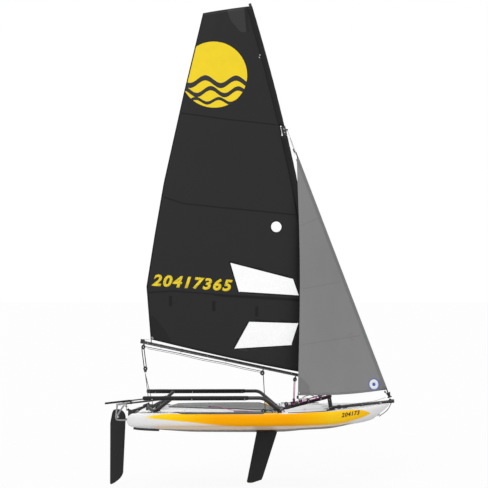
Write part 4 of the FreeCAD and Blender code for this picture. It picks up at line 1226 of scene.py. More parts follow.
@dataclass
class Hull:
    """The inflated hull: a smooth gull-winged skin with its seams, skid, valves and handles."""

    half_length: float = 1.685
    half_beam: float = 0.825
    seam_share: float = 0.40
    round_share: float = 0.30
    bulge: float = 2.35
    stations: tuple[tuple[float, ...], ...] = (
        # along, breadth, keel, bilge, rim, deck
        (-1.000, 0.50, 0.058, 0.082, 0.122, 0.098),
        (-0.985, 0.60, 0.004, 0.046, 0.166, 0.116),
        (-0.950, 0.68, -0.022, 0.028, 0.198, 0.114),
        (-0.800, 0.81, -0.050, 0.032, 0.212, 0.102),
        (-0.450, 0.96, -0.085, 0.048, 0.221, 0.096),
        (0.000, 1.00, -0.090, 0.058, 0.222, 0.096),
        (0.180, 0.99, -0.086, 0.060, 0.222, 0.102),
        (0.340, 0.94, -0.064, 0.062, 0.225, 0.124),
        (0.520, 0.82, -0.048, 0.064, 0.232, 0.176),
        (0.700, 0.63, 0.004, 0.084, 0.245, 0.218),
        (0.860, 0.37, 0.060, 0.124, 0.262, 0.250),
        (0.950, 0.17, 0.172, 0.192, 0.270, 0.264),
        (1.000, 0.04, 0.250, 0.254, 0.278, 0.272),
    )

    def slope(self, number: int, column: int) -> float:
        """The rise of a column at a station, from its neighbours, with no overshoot.

        Args:
            number: The station's number.
            column: The column.

        Returns:
            The rise.
        """
        rows = self.stations
        here = rows[number]
        if number in (0, len(rows) - 1):
            near = rows[1] if number == 0 else rows[-2]
            return (near[column] - here[column]) / (near[0] - here[0])
        before, after = rows[number - 1], rows[number + 1]
        left = (here[column] - before[column]) / (here[0] - before[0])
        right = (after[column] - here[column]) / (after[0] - here[0])
        return 2 * left * right / (left + right) if left * right > 0 else 0.0

    def row(self, x: float) -> tuple[float, ...]:
        """The section's sizes at a place along the hull, eased between stations.

        Args:
            x: The place.

        Returns:
            Half breadth and the heights of keel, bilge, rim and deck.
        """
        share = min(1.0, max(-1.0, x / self.half_length))
        last = next(i for i in range(1, len(self.stations)) if share <= self.stations[i][0] + 1e-9)
        low, high = self.stations[last - 1], self.stations[last]
        span = high[0] - low[0]
        t = (share - low[0]) / span
        values = []
        for column in range(1, 6):
            rise, fall = self.slope(last - 1, column) * span, self.slope(last, column) * span
            values.append(
                low[column] * (2 * t ** 3 - 3 * t * t + 1) + rise * (t ** 3 - 2 * t * t + t)
                + high[column] * (3 * t * t - 2 * t ** 3) + fall * (t ** 3 - t * t)
            )
        return (values[0] * self.half_beam, *values[1:])

    def flat_half(self, x: float) -> float:
        """Half the width of the deck inside the rounded sides."""
        half, _, bilge, rim, _ = self.row(x)
        return half - min(self.round_share * (rim - bilge), 0.3 * half)

    def deck_level(self, x: float, y: float) -> float:
        """The deck's height at a place."""
        _, _, _, rim, deck = self.row(x)
        return deck + (rim - deck) * min(1.0, abs(y) / self.flat_half(x))

    def top_level(self, x: float, y: float) -> float:
        """The upper skin's height at a place, on the deck or on the rounded side.

        Args:
            x: The place along the boat.
            y: The place to port.

        Returns:
            The height.
        """
        half, _, bilge, rim, _ = self.row(x)
        flat = self.flat_half(x)
        if abs(y) <= flat:
            return self.deck_level(x, y)
        out = min(1.0, (abs(y) - flat) / (half - flat))
        return (rim + bilge) / 2 + (rim - bilge) / 2 * (1 - out ** self.bulge) ** (1 / self.bulge)

    def keel_level(self, x: float, y: float) -> float:
        """The underside's height at a place."""
        _, keel, bilge, _, _ = self.row(x)
        return keel + (bilge - keel) * min(1.0, abs(y) / self.flat_half(x))

    def half_ring(self, x: float) -> list[Flat]:
        """One side of a section, from the middle of the deck round to the keel.

        Args:
            x: The place along the boat.

        Returns:
            Y and Z of its points.
        """
        half, keel, bilge, rim, deck = self.row(x)
        flat = self.flat_half(x)
        width, middle, tall = half - flat, (rim + bilge) / 2, (rim - bilge) / 2
        seam = self.seam_share * half
        top = [(flat * t, deck + (rim - deck) * t) for t in spaced(0.0, 1.0, 9)]
        low = [(flat * t, keel + (bilge - keel) * t) for t in spaced(0.0, 1.0, 9)]
        top = [(y, z - 0.003 * math.exp(-((y - seam) / 0.012) ** 2)) for y, z in top]
        side = []
        for turn in spaced(math.pi / 2, -math.pi / 2, 18)[1:-1]:
            out = abs(math.cos(turn)) ** (2 / self.bulge)
            rise = math.copysign(abs(math.sin(turn)) ** (2 / self.bulge), math.sin(turn))
            side.append((flat + width * out, middle + tall * rise))
        return top + side + list(reversed(low))

    def skin(self) -> None:
        """The closed skin with the daggerboard's slot through it."""
        rows = []
        for t in spaced(-1.0, 1.0, 110):
            x = self.half_length * (0.45 * t - 0.55 * math.cos(math.pi * (t + 1) / 2))
            ring = self.half_ring(x)
            rows.append([(x, y, z) for y, z in ring] + [(x, -y, z) for y, z in reversed(ring[1:-1])])
        shape = Shape()
        shape.solid(rows)
        piece = shape.piece("hull_skin", None, [HULL_FABRIC], angle=60)
        cut = Shape()
        lean = math.tan(math.radians(5))
        corners = [(-0.086, -0.2), (0.242, -0.2), (0.242, 0.3), (-0.086, 0.3)]
        cut.solid([[(x + lean * (z + 0.088), side * 0.018, z) for x, z in corners] for side in (-1, 1)])
        cutter = cut.piece("slot_cutter", None, [HULL_FABRIC])
        carve = piece.modifiers.new("slot", "BOOLEAN")
        carve.object, carve.operation, carve.solver = cutter, "DIFFERENCE", "EXACT"
        carved = evaluated(piece)
        piece.modifiers.clear()
        piece.data = carved
        bpy.data.objects.remove(cutter)
        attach(piece, Body.HULL.value)
        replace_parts(piece, "hull_floor", "hull_side_port", "hull_side_starboard")

    def seams(self) -> None:
        """Tapes over the chamber seams, the skid under the keel, and dark lines along the rims at stern and
        bow.
        """
        tapes = Shape()
        skid = Shape()
        keel = [(-1.62 + 0.33 * t, 0.012 * (1 - t)) for t in spaced(0.0, 1.0, 12)]
        skid.band([(x, 0, self.keel_level(x, 0) - drop) for x, drop in keel], PORTWARD, 0.11, 0.030)
        for side in (1, -1):
            for level, lift in ((self.deck_level, 0.0012), (self.keel_level, -0.0012)):
                line = [(x, self.seam_share * self.row(x)[0]) for x in spaced(-1.62, 1.48, 60)]
                path = [(x, side * y, level(x, y) + lift) for x, y in line]
                tapes.band(path, (0, 1, 0.15 * side), 0.028, 0.0016)
            stern = [(x, self.flat_half(x) - 0.012) for x in spaced(-1.50, -1.16, 12)]
            skid.tube([(x, side * y, self.deck_level(x, y) + 0.003) for x, y in stern], 0.0045)
            # a thin dark line along each rim ahead of the pads
            trim = []
            for x in spaced(0.33, 0.83, 30):
                flat = self.flat_half(x)
                y = flat + 0.05 * (self.row(x)[0] - flat)
                trim.append((x, side * y, self.top_level(x, y) + 0.002))
            skid.tube(trim, 0.0065)
        tapes.piece("hull_seam_tapes", Body.HULL, [TAPE_WHITE], Slot.HULL_SKIN)
        skid.piece("hull_skid", Body.HULL, [TAPE_GREY], Slot.FITTING)

    def fittings(self) -> None:
        """Inflation valves, tie-down rings, and a carrying handle at each end."""
        shape = Shape()
        valve = [(0.034, 0), (0.036, 0.003), (0.030, 0.007), (0.024, 0.007), (0.024, 0.011), (0.019, 0.014),
                 (0.010, 0.014), (0.008, 0.010)]
        for x, y in ((-1.30, 0.56), (-1.30, -0.56), (-1.22, 0.0), (1.12, 0.0)):
            tilt = (0, -math.copysign(0.16, y) if y else 0, 1)
            shape.turned(valve, (x, y, self.deck_level(x, y) + 0.001), tilt)
        for x, y in ((0.62, 0.30), (0.62, -0.30), (-0.98, 0.30), (-0.98, -0.30)):
            z = self.deck_level(x, y)
            tilt = (0, -math.copysign(0.18, y), 1)
            shape.button((x, y, z), tilt, (0.030, 0.0025), (0.024, 0.004), 24, 1)
            shape.ring((x, y, z + 0.012), (0, 1, 0.3), 0.013, 0.0025, 2)
        for x, reach in ((1.34, 0.10), (-1.56, 0.13)):
            handle = []
            for y in spaced(-reach, reach, 10):
                rise = 0.020 * max(0.0, 1 - (y / reach) ** 2) ** 0.6
                handle.append((x, y, self.deck_level(x, y) + 0.004 + rise))
            shape.band(handle, AHEAD, 0.030, 0.003, 3)
            for y in (reach, -reach):
                shape.button((x, y, self.deck_level(x, y)), UP, (0.028, 0.002), (0.022, 0.0035), 20, 1)
        finishes = (GREY_PLASTIC, TAPE_WHITE, STEEL, STRAP)
        shape.piece("hull_fittings", Body.HULL, finishes, Slot.FITTING, ease=0.0005)

    def numbers(self) -> None:
        """Plain figures on both bows."""
        triangles = split(split(slanted("204173", 0.050, 0.25, 0.0022)))
        wide = max(x for triangle in triangles for x, _ in triangle)
        middle, base = 1.13, 0.166
        for side in Side:
            shape = Shape()
            for triangle in triangles:
                corners = []
                for a, b in triangle:
                    x = middle - side.value * (a - wide / 2)
                    z = base + b + (x - middle) * 0.10
                    half, _, bilge, rim, _ = self.row(x)
                    flat = self.flat_half(x)
                    rise = min(0.98, abs(z - (rim + bilge) / 2) / ((rim - bilge) / 2))
                    y = flat + (half - flat) * (1 - rise ** self.bulge) ** (1 / self.bulge)
                    corners.append((x, side.value * (y + 0.0016), z))
                shape.add(corners, [(0, 1, 2)])
            shape.piece(f"bow_number_{side.word}", Body.HULL, [DARK_PRINT], thick=0.0006)

    def build(self) -> None:
        """Makes the hull's pieces."""
        self.skin()
        self.seams()
        self.fittings()
        self.numbers()


@dataclass
class DeckPads:
    """Foam pads: one on each side deck, and two beside the daggerboard's flange."""

    hull: Hull
    thick: float = 0.0125
    inner: tuple[Flat, ...] = ((0.77, -1.18), (0.63, -0.70), (0.58, -0.30), (0.50, -0.08), (0.47, 0.20))
    lip: float = 0.60
    corner: float = 0.02
    aft: float = -1.18
    front: float = 0.20

    def edges(self, x: float) -> Flat:
        """Inner and outer Y of the side pad at a place along the deck.

        Args:
            x: The place along the deck.

        Returns:
            Both edges.
        """
        flat = self.hull.flat_half(x)
        outer = 1 + self.lip * (self.hull.row(x)[0] - flat) / flat
        back = min(1.0, max(0.0, (x - self.aft) / 0.20))
        ahead = min(1.0, max(0.0, (self.front - x) / 0.03))
        inner = between(self.inner, x)
        outer -= max(0.0, x - self.corner) / (self.front - self.corner) * (outer - 0.70)
        reach = min(0.08 + 0.92 * math.sin(math.pi / 2 * back), 0.6 + 0.4 * math.sqrt(1 - (1 - ahead) ** 2))
        return inner * flat, (inner + max(0.02, reach) * (outer - inner)) * flat

    def pad(self, name: str, places: Sequence[float], edges: Callable[[float], Flat], side: Side) -> Piece:
        """One pad that lies on the deck.

        Args:
            name: The piece's name, without its side.
            places: Stations along the deck.
            edges: Inner and outer Y at a station.
            side: The side that it is on.

        Returns:
            The pad.
        """
        rows = []
        for x in places:
            near, far = edges(x)
            columns = [(near, 0.0005), (near, self.thick - 0.002), (near + 0.002, self.thick)]
            columns += [(y, self.thick) for y in spaced(near, far, 12)[1:-1]]
            columns += [(far - 0.002, self.thick), (far, self.thick - 0.002), (far, 0.0005)]
            rows.append([(x, side.value * y, self.hull.top_level(x, y) + lift) for y, lift in columns])
        shape = Shape()
        shape.solid(rows)
        wide = len(rows[0])
        for row in range(len(rows) - 1):
            for column in (0, 1, wide - 5, wide - 4, wide - 3, wide - 2):
                shape.marks[row * wide + column] = 1
        shape.marks[-2:] = [1, 1]
        piece = shape.piece(f"{name}_{side.word}", Body.HULL, [FOAM, FOAM_EDGE], Slot.DECK_FOAM)
        return piece

    def build(self) -> None:
        """Makes the pads."""
        aft, front = self.aft + 0.0005, self.front - 0.0005
        long = [aft + (front - aft) * (1 - math.cos(turn)) / 2 for turn in spaced(0.0, math.pi, 64)]
        for side in Side:
            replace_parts(self.pad("deck_foam", long, self.edges, side), f"deck_pad_{side.word}")
            self.pad("floor_foam", spaced(-0.32, 0.24, 12), lambda x: (0.056, 0.30), side)


# ---------------------------------------------------------------- frame


@dataclass
class TubeFrame:
    """Crossbeams, feet, hubs and legs, with their bolts, straps and buckles."""

    hull: Hull
    foot_y: float = 0.39
    feet: tuple[float, float] = (0.240, -1.327)
    height: float = 0.214

    def bolts(self) -> None:
        """Button-head bolts on the castings and at the tube joints."""
        shape = Shape()
        head = [(0.0062, 0), (0.0062, 0.0018), (0.0045, 0.0038), (0.0022, 0.0040), (0.0020, 0.0024)]
        spots = [
            ((x, side * self.foot_y + step, self.height + 0.0268), UP)
            for side in (1, -1) for x in self.feet for step in (-0.022, 0.022)
        ]
        for step in (-0.024, 0.024):
            spots.append(((0.297, step, self.height + 0.0258), UP))
            spots.append(((-1.440, step, 0.250 + 0.0255), UP))
            spots.append(((-1.6915, step * 0.8, 0.150), -AHEAD))
        for centre, axis in spots:
            shape.turned(head, centre, axis, 12)
        shape.piece("frame_bolts", Body.HULL, [STEEL], Slot.WIRE)

    def straps(self) -> None:
        """Webbing that holds each foot down to the deck, with its buckle and stitched end patch."""
        shape = Shape()
        patch = [(-0.045, -0.03), (0.045, -0.03), (0.045, 0.03), (-0.045, 0.03)]
        for side, x in ((side, x) for side in (1, -1) for x in self.feet):
            y = side * (self.foot_y + 0.052)
            low = self.hull.deck_level(x, y)
            rise = self.height + 0.004 - low
            shape.band([
                (x - 0.075 * math.cos(turn), y, low + 0.004 + rise * max(0.0, math.sin(turn)) ** 0.7)
                for turn in spaced(0.0, math.pi, 16)
            ], PORTWARD, 0.025, 0.0024)
            for end in (x + 0.105, x - 0.105):
                level = self.hull.deck_level(end, y)
                tilt = 0.17 * side
                shape.slab(patch, (end, y, level + 0.0018), AHEAD, (0, 1, tilt), 0.002, 1)
                shape.button((end, y, level + 0.003), (0, -tilt, 1), (0.004, 0.002), (0.002, 0.003), 10, 2)
            shape.block((x + 0.055, y, low + 0.055), (0.034, 0.034, 0.009), (0.45, 0, -1), mark=3)
        shape.piece("foot_straps", Body.HULL, [STRAP, TAPE_WHITE, STEEL, PLASTIC], Slot.FITTING, ease=0.0008)

    def clutter(self) -> None:
        """The dark webbing and pins round the stern spar and under the mast step."""
        shape = Shape()
        lug = [(0, 0), (0.090, 0.058), (0.090, 0.082), (0, 0.112)]
        for side in (1, -1):

            def mirrored(*points: Point) -> list[Point]:
                """Points given on the port side, moved to this side."""
                return [(x, side * y, z) for x, y, z in points]

            stern = mirrored((-1.43, 0.05, 0.262), (-1.52, 0.11, 0.215), (-1.60, 0.16, 0.160))
            shape.band(smooth_line(stern, 8), (0.3, side * 0.6, 0.5), 0.030, 0.0028)
            leg = mirrored(
                (-1.275, 0.155, 0.292), (-1.330, 0.150, 0.266), (-1.405, 0.110, 0.226), (-1.452, 0.060, 0.214)
            )
            shape.tube(smooth_line(leg), 0.0145, 12)
            step = mirrored((0.95, 0.035, 0.236), (0.90, 0.10, 0.226), (0.84, 0.17, 0.222))
            shape.band(smooth_line(step, 8), (1, 0.2 * side, 0), 0.03, 0.0028)
            shape.slab(lug, (-1.6862, side * 0.021, 0.100), AHEAD, UP, 0.004, 1)
        for x, y, z, size in (
            (-1.468, -0.034, 0.262, 0.056), (-1.440, 0.030, 0.268, 0.050), (-1.505, -0.030, 0.232, 0.044),
            (-1.548, 0.026, 0.216, 0.040), (-1.600, -0.022, 0.196, 0.038),
        ):
            shape.block((x, y, z), (size, 0.030, 0.034), (0.93, 0, 0.36), mark=1)
        heel = [(0.033, 0), (0.035, 0.004), (0.035, 0.030), (0.033, 0.034)]
        shape.turned(heel, (0.9105, 0, 0.352), (-0.1546, 0, 0.988), 30, 1)
        shape.tube([(0.906, -0.052, 0.330), (0.906, 0.052, 0.330)], 0.004, 10, 2)
        shape.ring((0.906, -0.058, 0.324), AHEAD, 0.010, 0.0012, 2)
        shape.piece("frame_trim", Body.HULL, [STRAP, PLASTIC, STEEL], Slot.FITTING, ease=0.0006)

    def strut_sleeve(self) -> None:
        """The padded sleeve on the strut, a little thinner at its two ends."""

        def radius(share: float) -> float:
            """The sleeve's radius at a share of its length."""
            return 0.0235 - 0.002 * min(1.0, max(0.0, abs(share - 0.5) - 0.47) * 40)

        aft, front = Vector((0.340, 0, 0.2195)), Vector((0.885, 0, 0.359))
        shape = Shape()
        shape.tube([aft.lerp(front, t) for t in spaced(0.0, 1.0, 24)], radius, 28)
        shape.piece("strut_sleeve", Body.HULL, [SLEEVE], Slot.FITTING)

    def build(self) -> None:
        """Dresses the frame's nodes and adds its trim."""
        dress(
            "front_crossbeam rear_crossbeam rear_leg_port rear_leg_starboard rack_port rack_starboard strut "
            "stern_spar bowsprit tiller", TUBE,
        )
        dress(
            "front_hub rear_hub front_feet rear_feet bowsprit_collar bow_saddle bowsprit_end mast_step "
            "rudder_bracket extension_joint", PLASTIC, ease=0.0018,
        )
        dress("board_flange", PLASTIC, ease=0.002)
        self.strut_sleeve()
        self.bolts()
        self.straps()
        self.clutter()


@dataclass
class RackSleeve:
    """A padded sleeve on a rail: cloth over foam, with a flap seam, end hems and snaps."""

    side: Side
    aft: float = -1.473
    front: float = -0.158
    out: float = 0.62
    level: float = 0.396
    radius: float = 0.0275
    snaps: tuple[float, ...] = (-1.36, -0.866, -0.206)

    def bolster(self) -> list[list[Point]]:
        """The sleeve's rows of points.

        Returns:
            The rows.
        """
        sign = self.side.value
        hems = (self.aft + 0.02, self.front - 0.02)
        rows = []
        for share in spaced(0.0, 1.0, 90):
            x = self.aft + (self.front - self.aft) * share
            hem = sum(0.0012 * math.exp(-((x - place) / 0.006) ** 2) for place in hems)
            ends = min(1.0, (share + 0.004) * 60, (1.004 - share) * 60) ** 0.4
            row = []
            for part in range(32):
                turn = TURN * part / 32
                y, z = math.cos(turn), math.sin(turn)
                soft = 0.0007 * noise.noise(Vector((x * 9, y * 1.5, z * 1.5 + 7 * sign)))
                seam = -0.0012 * math.exp(-(((turn - 4.4) % TURN) / 0.10) ** 2)
                radius = (self.radius - 0.0015) * ends + hem + soft + seam + 0.0205 * (1 - ends)
                row.append((x, sign * self.out + radius * y, self.level + radius * z))
            rows.append(row)
        return rows

    def build(self) -> None:
        """Makes the sleeve."""
        sign = self.side.value
        y, z = sign * self.out, self.level
        shape = Shape()
        shape.solid(self.bolster())
        flap = [(x, y + sign * 0.012, z - 0.0252) for x in spaced(self.aft + 0.03, self.front - 0.03, 40)]
        shape.band(flap, (0, 1, 0.5 * sign), 0.016, 0.0012, 2)
        for x in self.snaps:
            for turn in (math.radians(-28), math.radians(208)):
                out = Vector((0, math.cos(turn), math.sin(turn)))
                shape.button(Vector((x, y, z)) + out * 0.0262, out, (0.0065, 0.0012), (0.004, 0.0022), 14, 1)
        plug = [(0.019, 0), (0.0195, 0.003), (0.017, 0.007), (0.004, 0.0085)]
        shape.turned(plug, (self.aft + 0.002, y, z), -AHEAD, 28, 3)
        piece = shape.piece(
            f"rack_sleeve_{self.side.word}", Body.HULL, [SLEEVE, STEEL, STRAP, PLASTIC], Slot.RACK_FOAM
        )
        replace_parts(piece, f"rack_pad_{self.side.word}")


# ---------------------------------------------------------------- blades


def foil(shape: Shape, outline: Callable[[float], Flat], heights: Sequence[float], thick: float) -> None:
    """A blade with a rounded nose and a fine trailing edge.

    Args:
        shape: What it is added to.
        outline: Aft and front edge at a height.
        heights: Where its sections are.
        thick: Its greatest thickness.
    """
    rows = []
    for z in heights:
        back, front = outline(z)
        chord = max(0.004, front - back)
        local = min(thick, chord * 0.6)
        upper = []
        for turn in spaced(0.0, math.pi, 14):
            s = (1 - math.cos(turn)) / 2
            nose = math.sqrt(s / 0.16) if s < 0.16 else 1.0
            tail = min(1.0, 0.12 + (1 - s) / 0.34)
            upper.append((front - chord * s, local / 2 * nose ** 0.9 * tail, z))
        rows.append(upper + [(x, -y, z) for x, y, z in reversed(upper[1:])])
    shape.solid(rows)


def between(points: Sequence[Flat], height: float) -> float:
    """A value on a line of (value, height) points at a height.

    Args:
        points: Values and heights.
        height: The height.

    Returns:
        The value there.
    """
    for (low, start), (high, end) in zip(points, points[1:]):
        if start <= height <= end:
            return low + (high - low) * (height - start) / (end - start)
    return points[0][0] if height < points[0][1] else points[-1][0]


@dataclass
class Daggerboard:
    """The daggerboard with its head stop and grip."""

    back: tuple[Flat, ...] = ((-0.145, -0.7415), (-0.159, -0.728), (-0.032, -0.088), (-0.0127, 0.132))
    front: tuple[Flat, ...] = (
        (-0.085, -0.7415), (0.0328, -0.704), (0.0508, -0.664), (0.236, -0.088), (0.2552, 0.132),
    )

    def build(self) -> None:
        """Makes the board and dresses its head."""
        heights = [-0.7415, -0.739, -0.734, -0.726, -0.715, -0.704, -0.690, -0.677, -0.664, -0.64]
        shape = Shape()
        foil(
            shape, lambda z: (between(self.back, z), between(self.front, z)),
            heights + spaced(-0.60, 0.132, 24), 0.0235,
        )
        board = shape.piece("board_foil", Body.BOARD, [BLADE], Slot.BLADE, angle=50)
        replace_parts(board, "daggerboard")
        dress("board_handle", PLASTIC, ease=0.003)
        trim = Shape()
        grip = [(0.075, 0, 0.146), (0.082, 0, 0.176), (0.125, 0, 0.192), (0.168, 0, 0.176), (0.175, 0, 0.146)]
        trim.tube(smooth_line(grip, 8), 0.006, 10, 1)
        for x in (0.078, 0.172):
            trim.button((x, 0, 0.1455), UP, (0.009, 0.003), (0.006, 0.004), 16)
        trim.piece("board_grip", Body.BOARD, [STEEL, BLACK_ROPE], Slot.FITTING)


@dataclass
class Rudder:
    """The rudder: open alloy head, kick-up blade, tiller and its extension with a grip."""

    pivot: Flat = (-1.822, 0.112)
    radius: float = 0.099
    tip: float = -0.7525
    front: tuple[Flat, ...] = (
        (-1.903, -0.7525), (-1.868, -0.737), (-1.822, -0.705), (-1.783, -0.668), (-1.765, -0.640),
        (-1.751, -0.600), (-1.723, 0.060), (-1.721, 0.112),
    )
    back: tuple[Flat, ...] = (
        (-1.911, -0.7525), (-1.919, -0.744), (-1.921, -0.730), (-1.921, 0.030), (-1.915, 0.070),
        (-1.896, 0.170), (-1.885, 0.186),
    )
    cheek: tuple[Flat, ...] = (
        (-1.716, 0.090), (-1.716, 0.074), (-1.740, 0.071), (-1.800, 0.072), (-1.834, 0.078), (-1.846, 0.100),
        (-1.846, 0.130), (-1.838, 0.200), (-1.833, 0.250), (-1.829, 0.268), (-1.812, 0.274), (-1.770, 0.278),
        (-1.735, 0.282), (-1.719, 0.278), (-1.716, 0.262), (-1.715, 0.242),
    )
    brace: tuple[Flat, ...] = ((-1.742, 0.262), (-1.790, 0.196), (-1.836, 0.118))
    tiller_aft: Point = (-1.839, 0, 0.268)
    tiller_front: Point = (-1.220, 0, 0.338)
    clip: float = -1.655
    joint: Point = (-1.2117, 0, 0.3716)
    back_way: Point = (-0.99367, 0, -0.11237)
    grip: Flat = (0.455, 0.781)

    def edges(self, z: float) -> Flat:
        """Aft and front edge of the blade at a height.

        Args:
            z: The height.

        Returns:
            Both edges.
        """
        x, centre = self.pivot
        if z <= centre:
            return between(self.back, z), between(self.front, z)
        half = math.sqrt(max(1e-6, self.radius ** 2 - (z - centre) ** 2))
        return max(between(self.back, z), x - half - 0.012), x + half

    def blade(self) -> None:
        """The kick-up blade with its boss."""
        x, z = self.pivot
        rises = (0, 0.002, 0.006, 0.014, 0.025, 0.042, 0.060, 0.08, 0.10, 0.117)
        heights = [self.tip + rise for rise in rises] + spaced(-0.60, 0.0, 16) + [0.03, 0.05, 0.07, 0.09]
        heights += [z + self.radius * math.sin(turn) for turn in spaced(0.0, math.pi / 2, 12)]
        shape = Shape()
        foil(shape, self.edges, sorted(set(heights)), 0.0175)
        boss = [(0.027, 0), (0.0265, 0.004), (0.024, 0.0046), (0.0075, 0.0046)]
        for sign in (1, -1):
            shape.turned(boss, (x, sign * 0.0088, z), (0, sign, 0), 32, 1)
        piece = shape.piece("rudder_foil", Body.BLADE, [BLADE, PLASTIC], Slot.BLADE, angle=50)
        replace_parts(piece, "rudder_blade")

    def head(self) -> None:
        """The open alloy head: two cheeks of bent flat bar with a brace across each."""
        shape = Shape()
        for side in (1, -1):
            place = Vector((0, side * 0.0165, 0))
            rim = [point + place for point in smooth_line([(x, 0, z) for x, z in self.cheek], 4)]
            shape.band(rim, PORTWARD, 0.020, 0.005, flat=False)
            brace = [Vector((x, 0, z)) + place for x, z in self.brace]
            shape.band(brace, PORTWARD, 0.022, 0.0046, flat=False)
        for z in (0.244, 0.082):
            shape.collar((-1.716, 0, z), PORTWARD, (0.0092, 0.011), 0.019, 20)
        for z in (0.204, 0.070):
            shape.collar((-1.706, 0, z), UP, (0.0068, 0.0125), 0.009, 20)
        piece = shape.piece("rudder_head_frame", Body.RUDDER, [ALLOY], Slot.HEAD, ease=0.0006)
        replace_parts(piece, "rudder_head")

    def head_trim(self) -> None:
        """Bolt heads, spacers, the pin's ring and the blade's downhaul on the head."""
        shape = Shape()
        head = [(0.0075, 0), (0.0075, 0.002), (0.0055, 0.0045), (0.0025, 0.0047), (0.0022, 0.003)]
        x, z = self.pivot
        for sign in (1, -1):
            shape.turned([(0.0115, 0), (0.0115, 0.0015)], (x, sign * 0.0232, z), (0, sign, 0), 20)
            shape.turned(head, (x, sign * 0.0246, z), (0, sign, 0), 12)
            for a, b in ((-1.712, 0.222), (-1.716, 0.072), (-1.834, 0.270), (-1.744, 0.268)):
                shape.turned(head, (a, sign * 0.0191, b), (0, sign, 0), 12)
        for a, b in ((-1.846, 0.080), (-1.838, 0.180)):
            shape.tube([(a, -0.0138, b), (a, 0.0138, b)], 0.0045, 12, 1)
        shape.ring((-1.703, 0, 0.246), (0.3, 1, 0), 0.011, 0.0013)
        shape.piece("rudder_head_trim", Body.RUDDER, [STEEL, PLASTIC], Slot.HEAD)
        line = [
            (-1.786, 0.0195, 0.245), (-1.80, 0.027, 0.26), (-1.776, 0.022, 0.288), (-1.70, 0.017, 0.300),
            (-1.62, 0.0165, 0.3085),
        ]
        cord = Shape()
        cord.tube(smooth_line(line, 8), 0.0021)
        cord.piece("rudder_downhaul", Body.RUDDER, [GREY_ROPE])

    def tiller_trim(self) -> None:
        """The tiller's end plug, and the clip that holds the folded extension."""
        shape = Shape()
        aft = Vector(self.tiller_aft)
        way = (Vector(self.tiller_front) - aft).normalized()
        up = Vector((-way.z, 0, way.x))
        plug = [(0.0118, 0), (0.0118, 0.004), (0.0095, 0.006), (0.002, 0.0065)]
        shape.turned(plug, aft - way * 0.0002, -way, 24)
        clip = aft + way * ((self.clip - aft.x) / way.x)
        shape.collar(clip, way, (0.0142, 0.0150), 0.013, slope=0.002)
        for sign in (1, -1):
            horn = []
            for t in spaced(0.0, 1.0, 8):
                out = sign * (0.0072 + 0.0055 * math.sin(math.pi * t * 0.9))
                horn.append(clip + up * (0.013 + 0.011 * t) + Vector((0, out, 0)))
            shape.band(horn, way, 0.020, 0.003)
        shape.piece("tiller_trim", Body.RUDDER, [PLASTIC], Slot.FITTING, ease=0.0005)

    def extension_grip(self) -> None:
        """The extension's sponge grip, with its end cap and the collar at its joint."""
        start, back = Vector(self.joint), Vector(self.back_way)

        def swell(share: float) -> float:
            """The grip's radius, ribbed like sponge."""
            ends = min(1.0, share * 25, (1 - share) * 25)
            return 0.0100 + 0.0028 * ends ** 0.5 + 0.0003 * math.sin(share * 260)

        grip = Shape()
        grip.tube([start + back * gone for gone in spaced(*self.grip, 120)], swell, 20)
        cap = [(0.0135, 0), (0.0142, 0.002), (0.0138, 0.0046), (0.006, 0.0055)]
        grip.turned(cap, start + back * self.grip[1] - back * 0.002, back, 24, 1)
        collar = [(0.0105, -0.012), (0.0115, -0.010), (0.0115, 0.004), (0.010, 0.006)]
        grip.turned(collar, start + back * 0.048, back, 24, 1)
        grip.piece("extension_grip", Body.EXTENSION, [SLEEVE, PLASTIC], Slot.RACK_FOAM)

    def build(self) -> None:
        """Makes the rudder's pieces and dresses its nodes."""
        self.blade()
        self.head()
        dress("tiller_extension", TUBE)
        self.head_trim()
        self.tiller_trim()
        self.extension_grip()


# ---------------------------------------------------------------- sails


STAY_TOP = Vector((0.377, 0, 3.819))
STAY_DOWN = Vector((0.356676, 0, -0.934228))
STAY_AFT = Vector((-0.934228, 0, -0.356676))
JIB_REST = 15.2
RIG_REST = 4.0
MAST_FOOT, MAST_BEND, MAST_TOP = (0.905, 0.392), (0.328, 3.823), (-0.120, 5.490)
MAST_RAKE = math.radians(13.2)


def on_stay(down: float, aft: float = 0.0) -> Vector:
    """A point by the forestay: so far down it from its top, and behind it."""
    return STAY_TOP + STAY_DOWN * down + STAY_AFT * aft


def mast_x(height: float) -> float:
    """The mast's middle at a height, on one of two arcs that meet at the bend.

    Args:
        height: The height.

    Returns:
        The place along the boat.
    """
    other = MAST_FOOT if height <= MAST_BEND[1] else MAST_TOP
    across = (math.cos(MAST_RAKE), math.sin(MAST_RAKE))
    gap = (other[0] - MAST_BEND[0], other[1] - MAST_BEND[1])
    radius = (gap[0] ** 2 + gap[1] ** 2) / (2 * (gap[0] * across[0] + gap[1] * across[1]))
    centre = (MAST_BEND[0] + radius * across[0], MAST_BEND[1] + radius * across[1])
    reach = math.sqrt(radius ** 2 - (height - centre[1]) ** 2)
    return centre[0] + reach if radius < 0 else centre[0] - reach


def sides_of(outline: Sequence[Flat]) -> list[tuple[Flat, Flat]]:
    """Each corner of an outline with the next one."""
    return list(zip(outline, [*outline[1:], outline[0]]))


def round_corner(corner: Flat, *offsets: Flat) -> list[Flat]:
    """An outline given from a corner."""
    return [(corner[0] + x, corner[1] + z) for x, z in offsets]


def bracket(rows: Sequence[Sequence[float]], value: float) -> tuple[Sequence[float], Sequence[float], float]:
    """The two rows round a value of their first column, and its share from one to the other.

    Args:
        rows: Rows, in the order of their first column.
        value: The value.

    Returns:
        Both rows and the share.
    """
    last = next(i for i in range(1, len(rows)) if value <= rows[i][0] + 1e-9)
    low, high = rows[last - 1], rows[last]
    return low, high, (value - low[0]) / (high[0] - low[0])


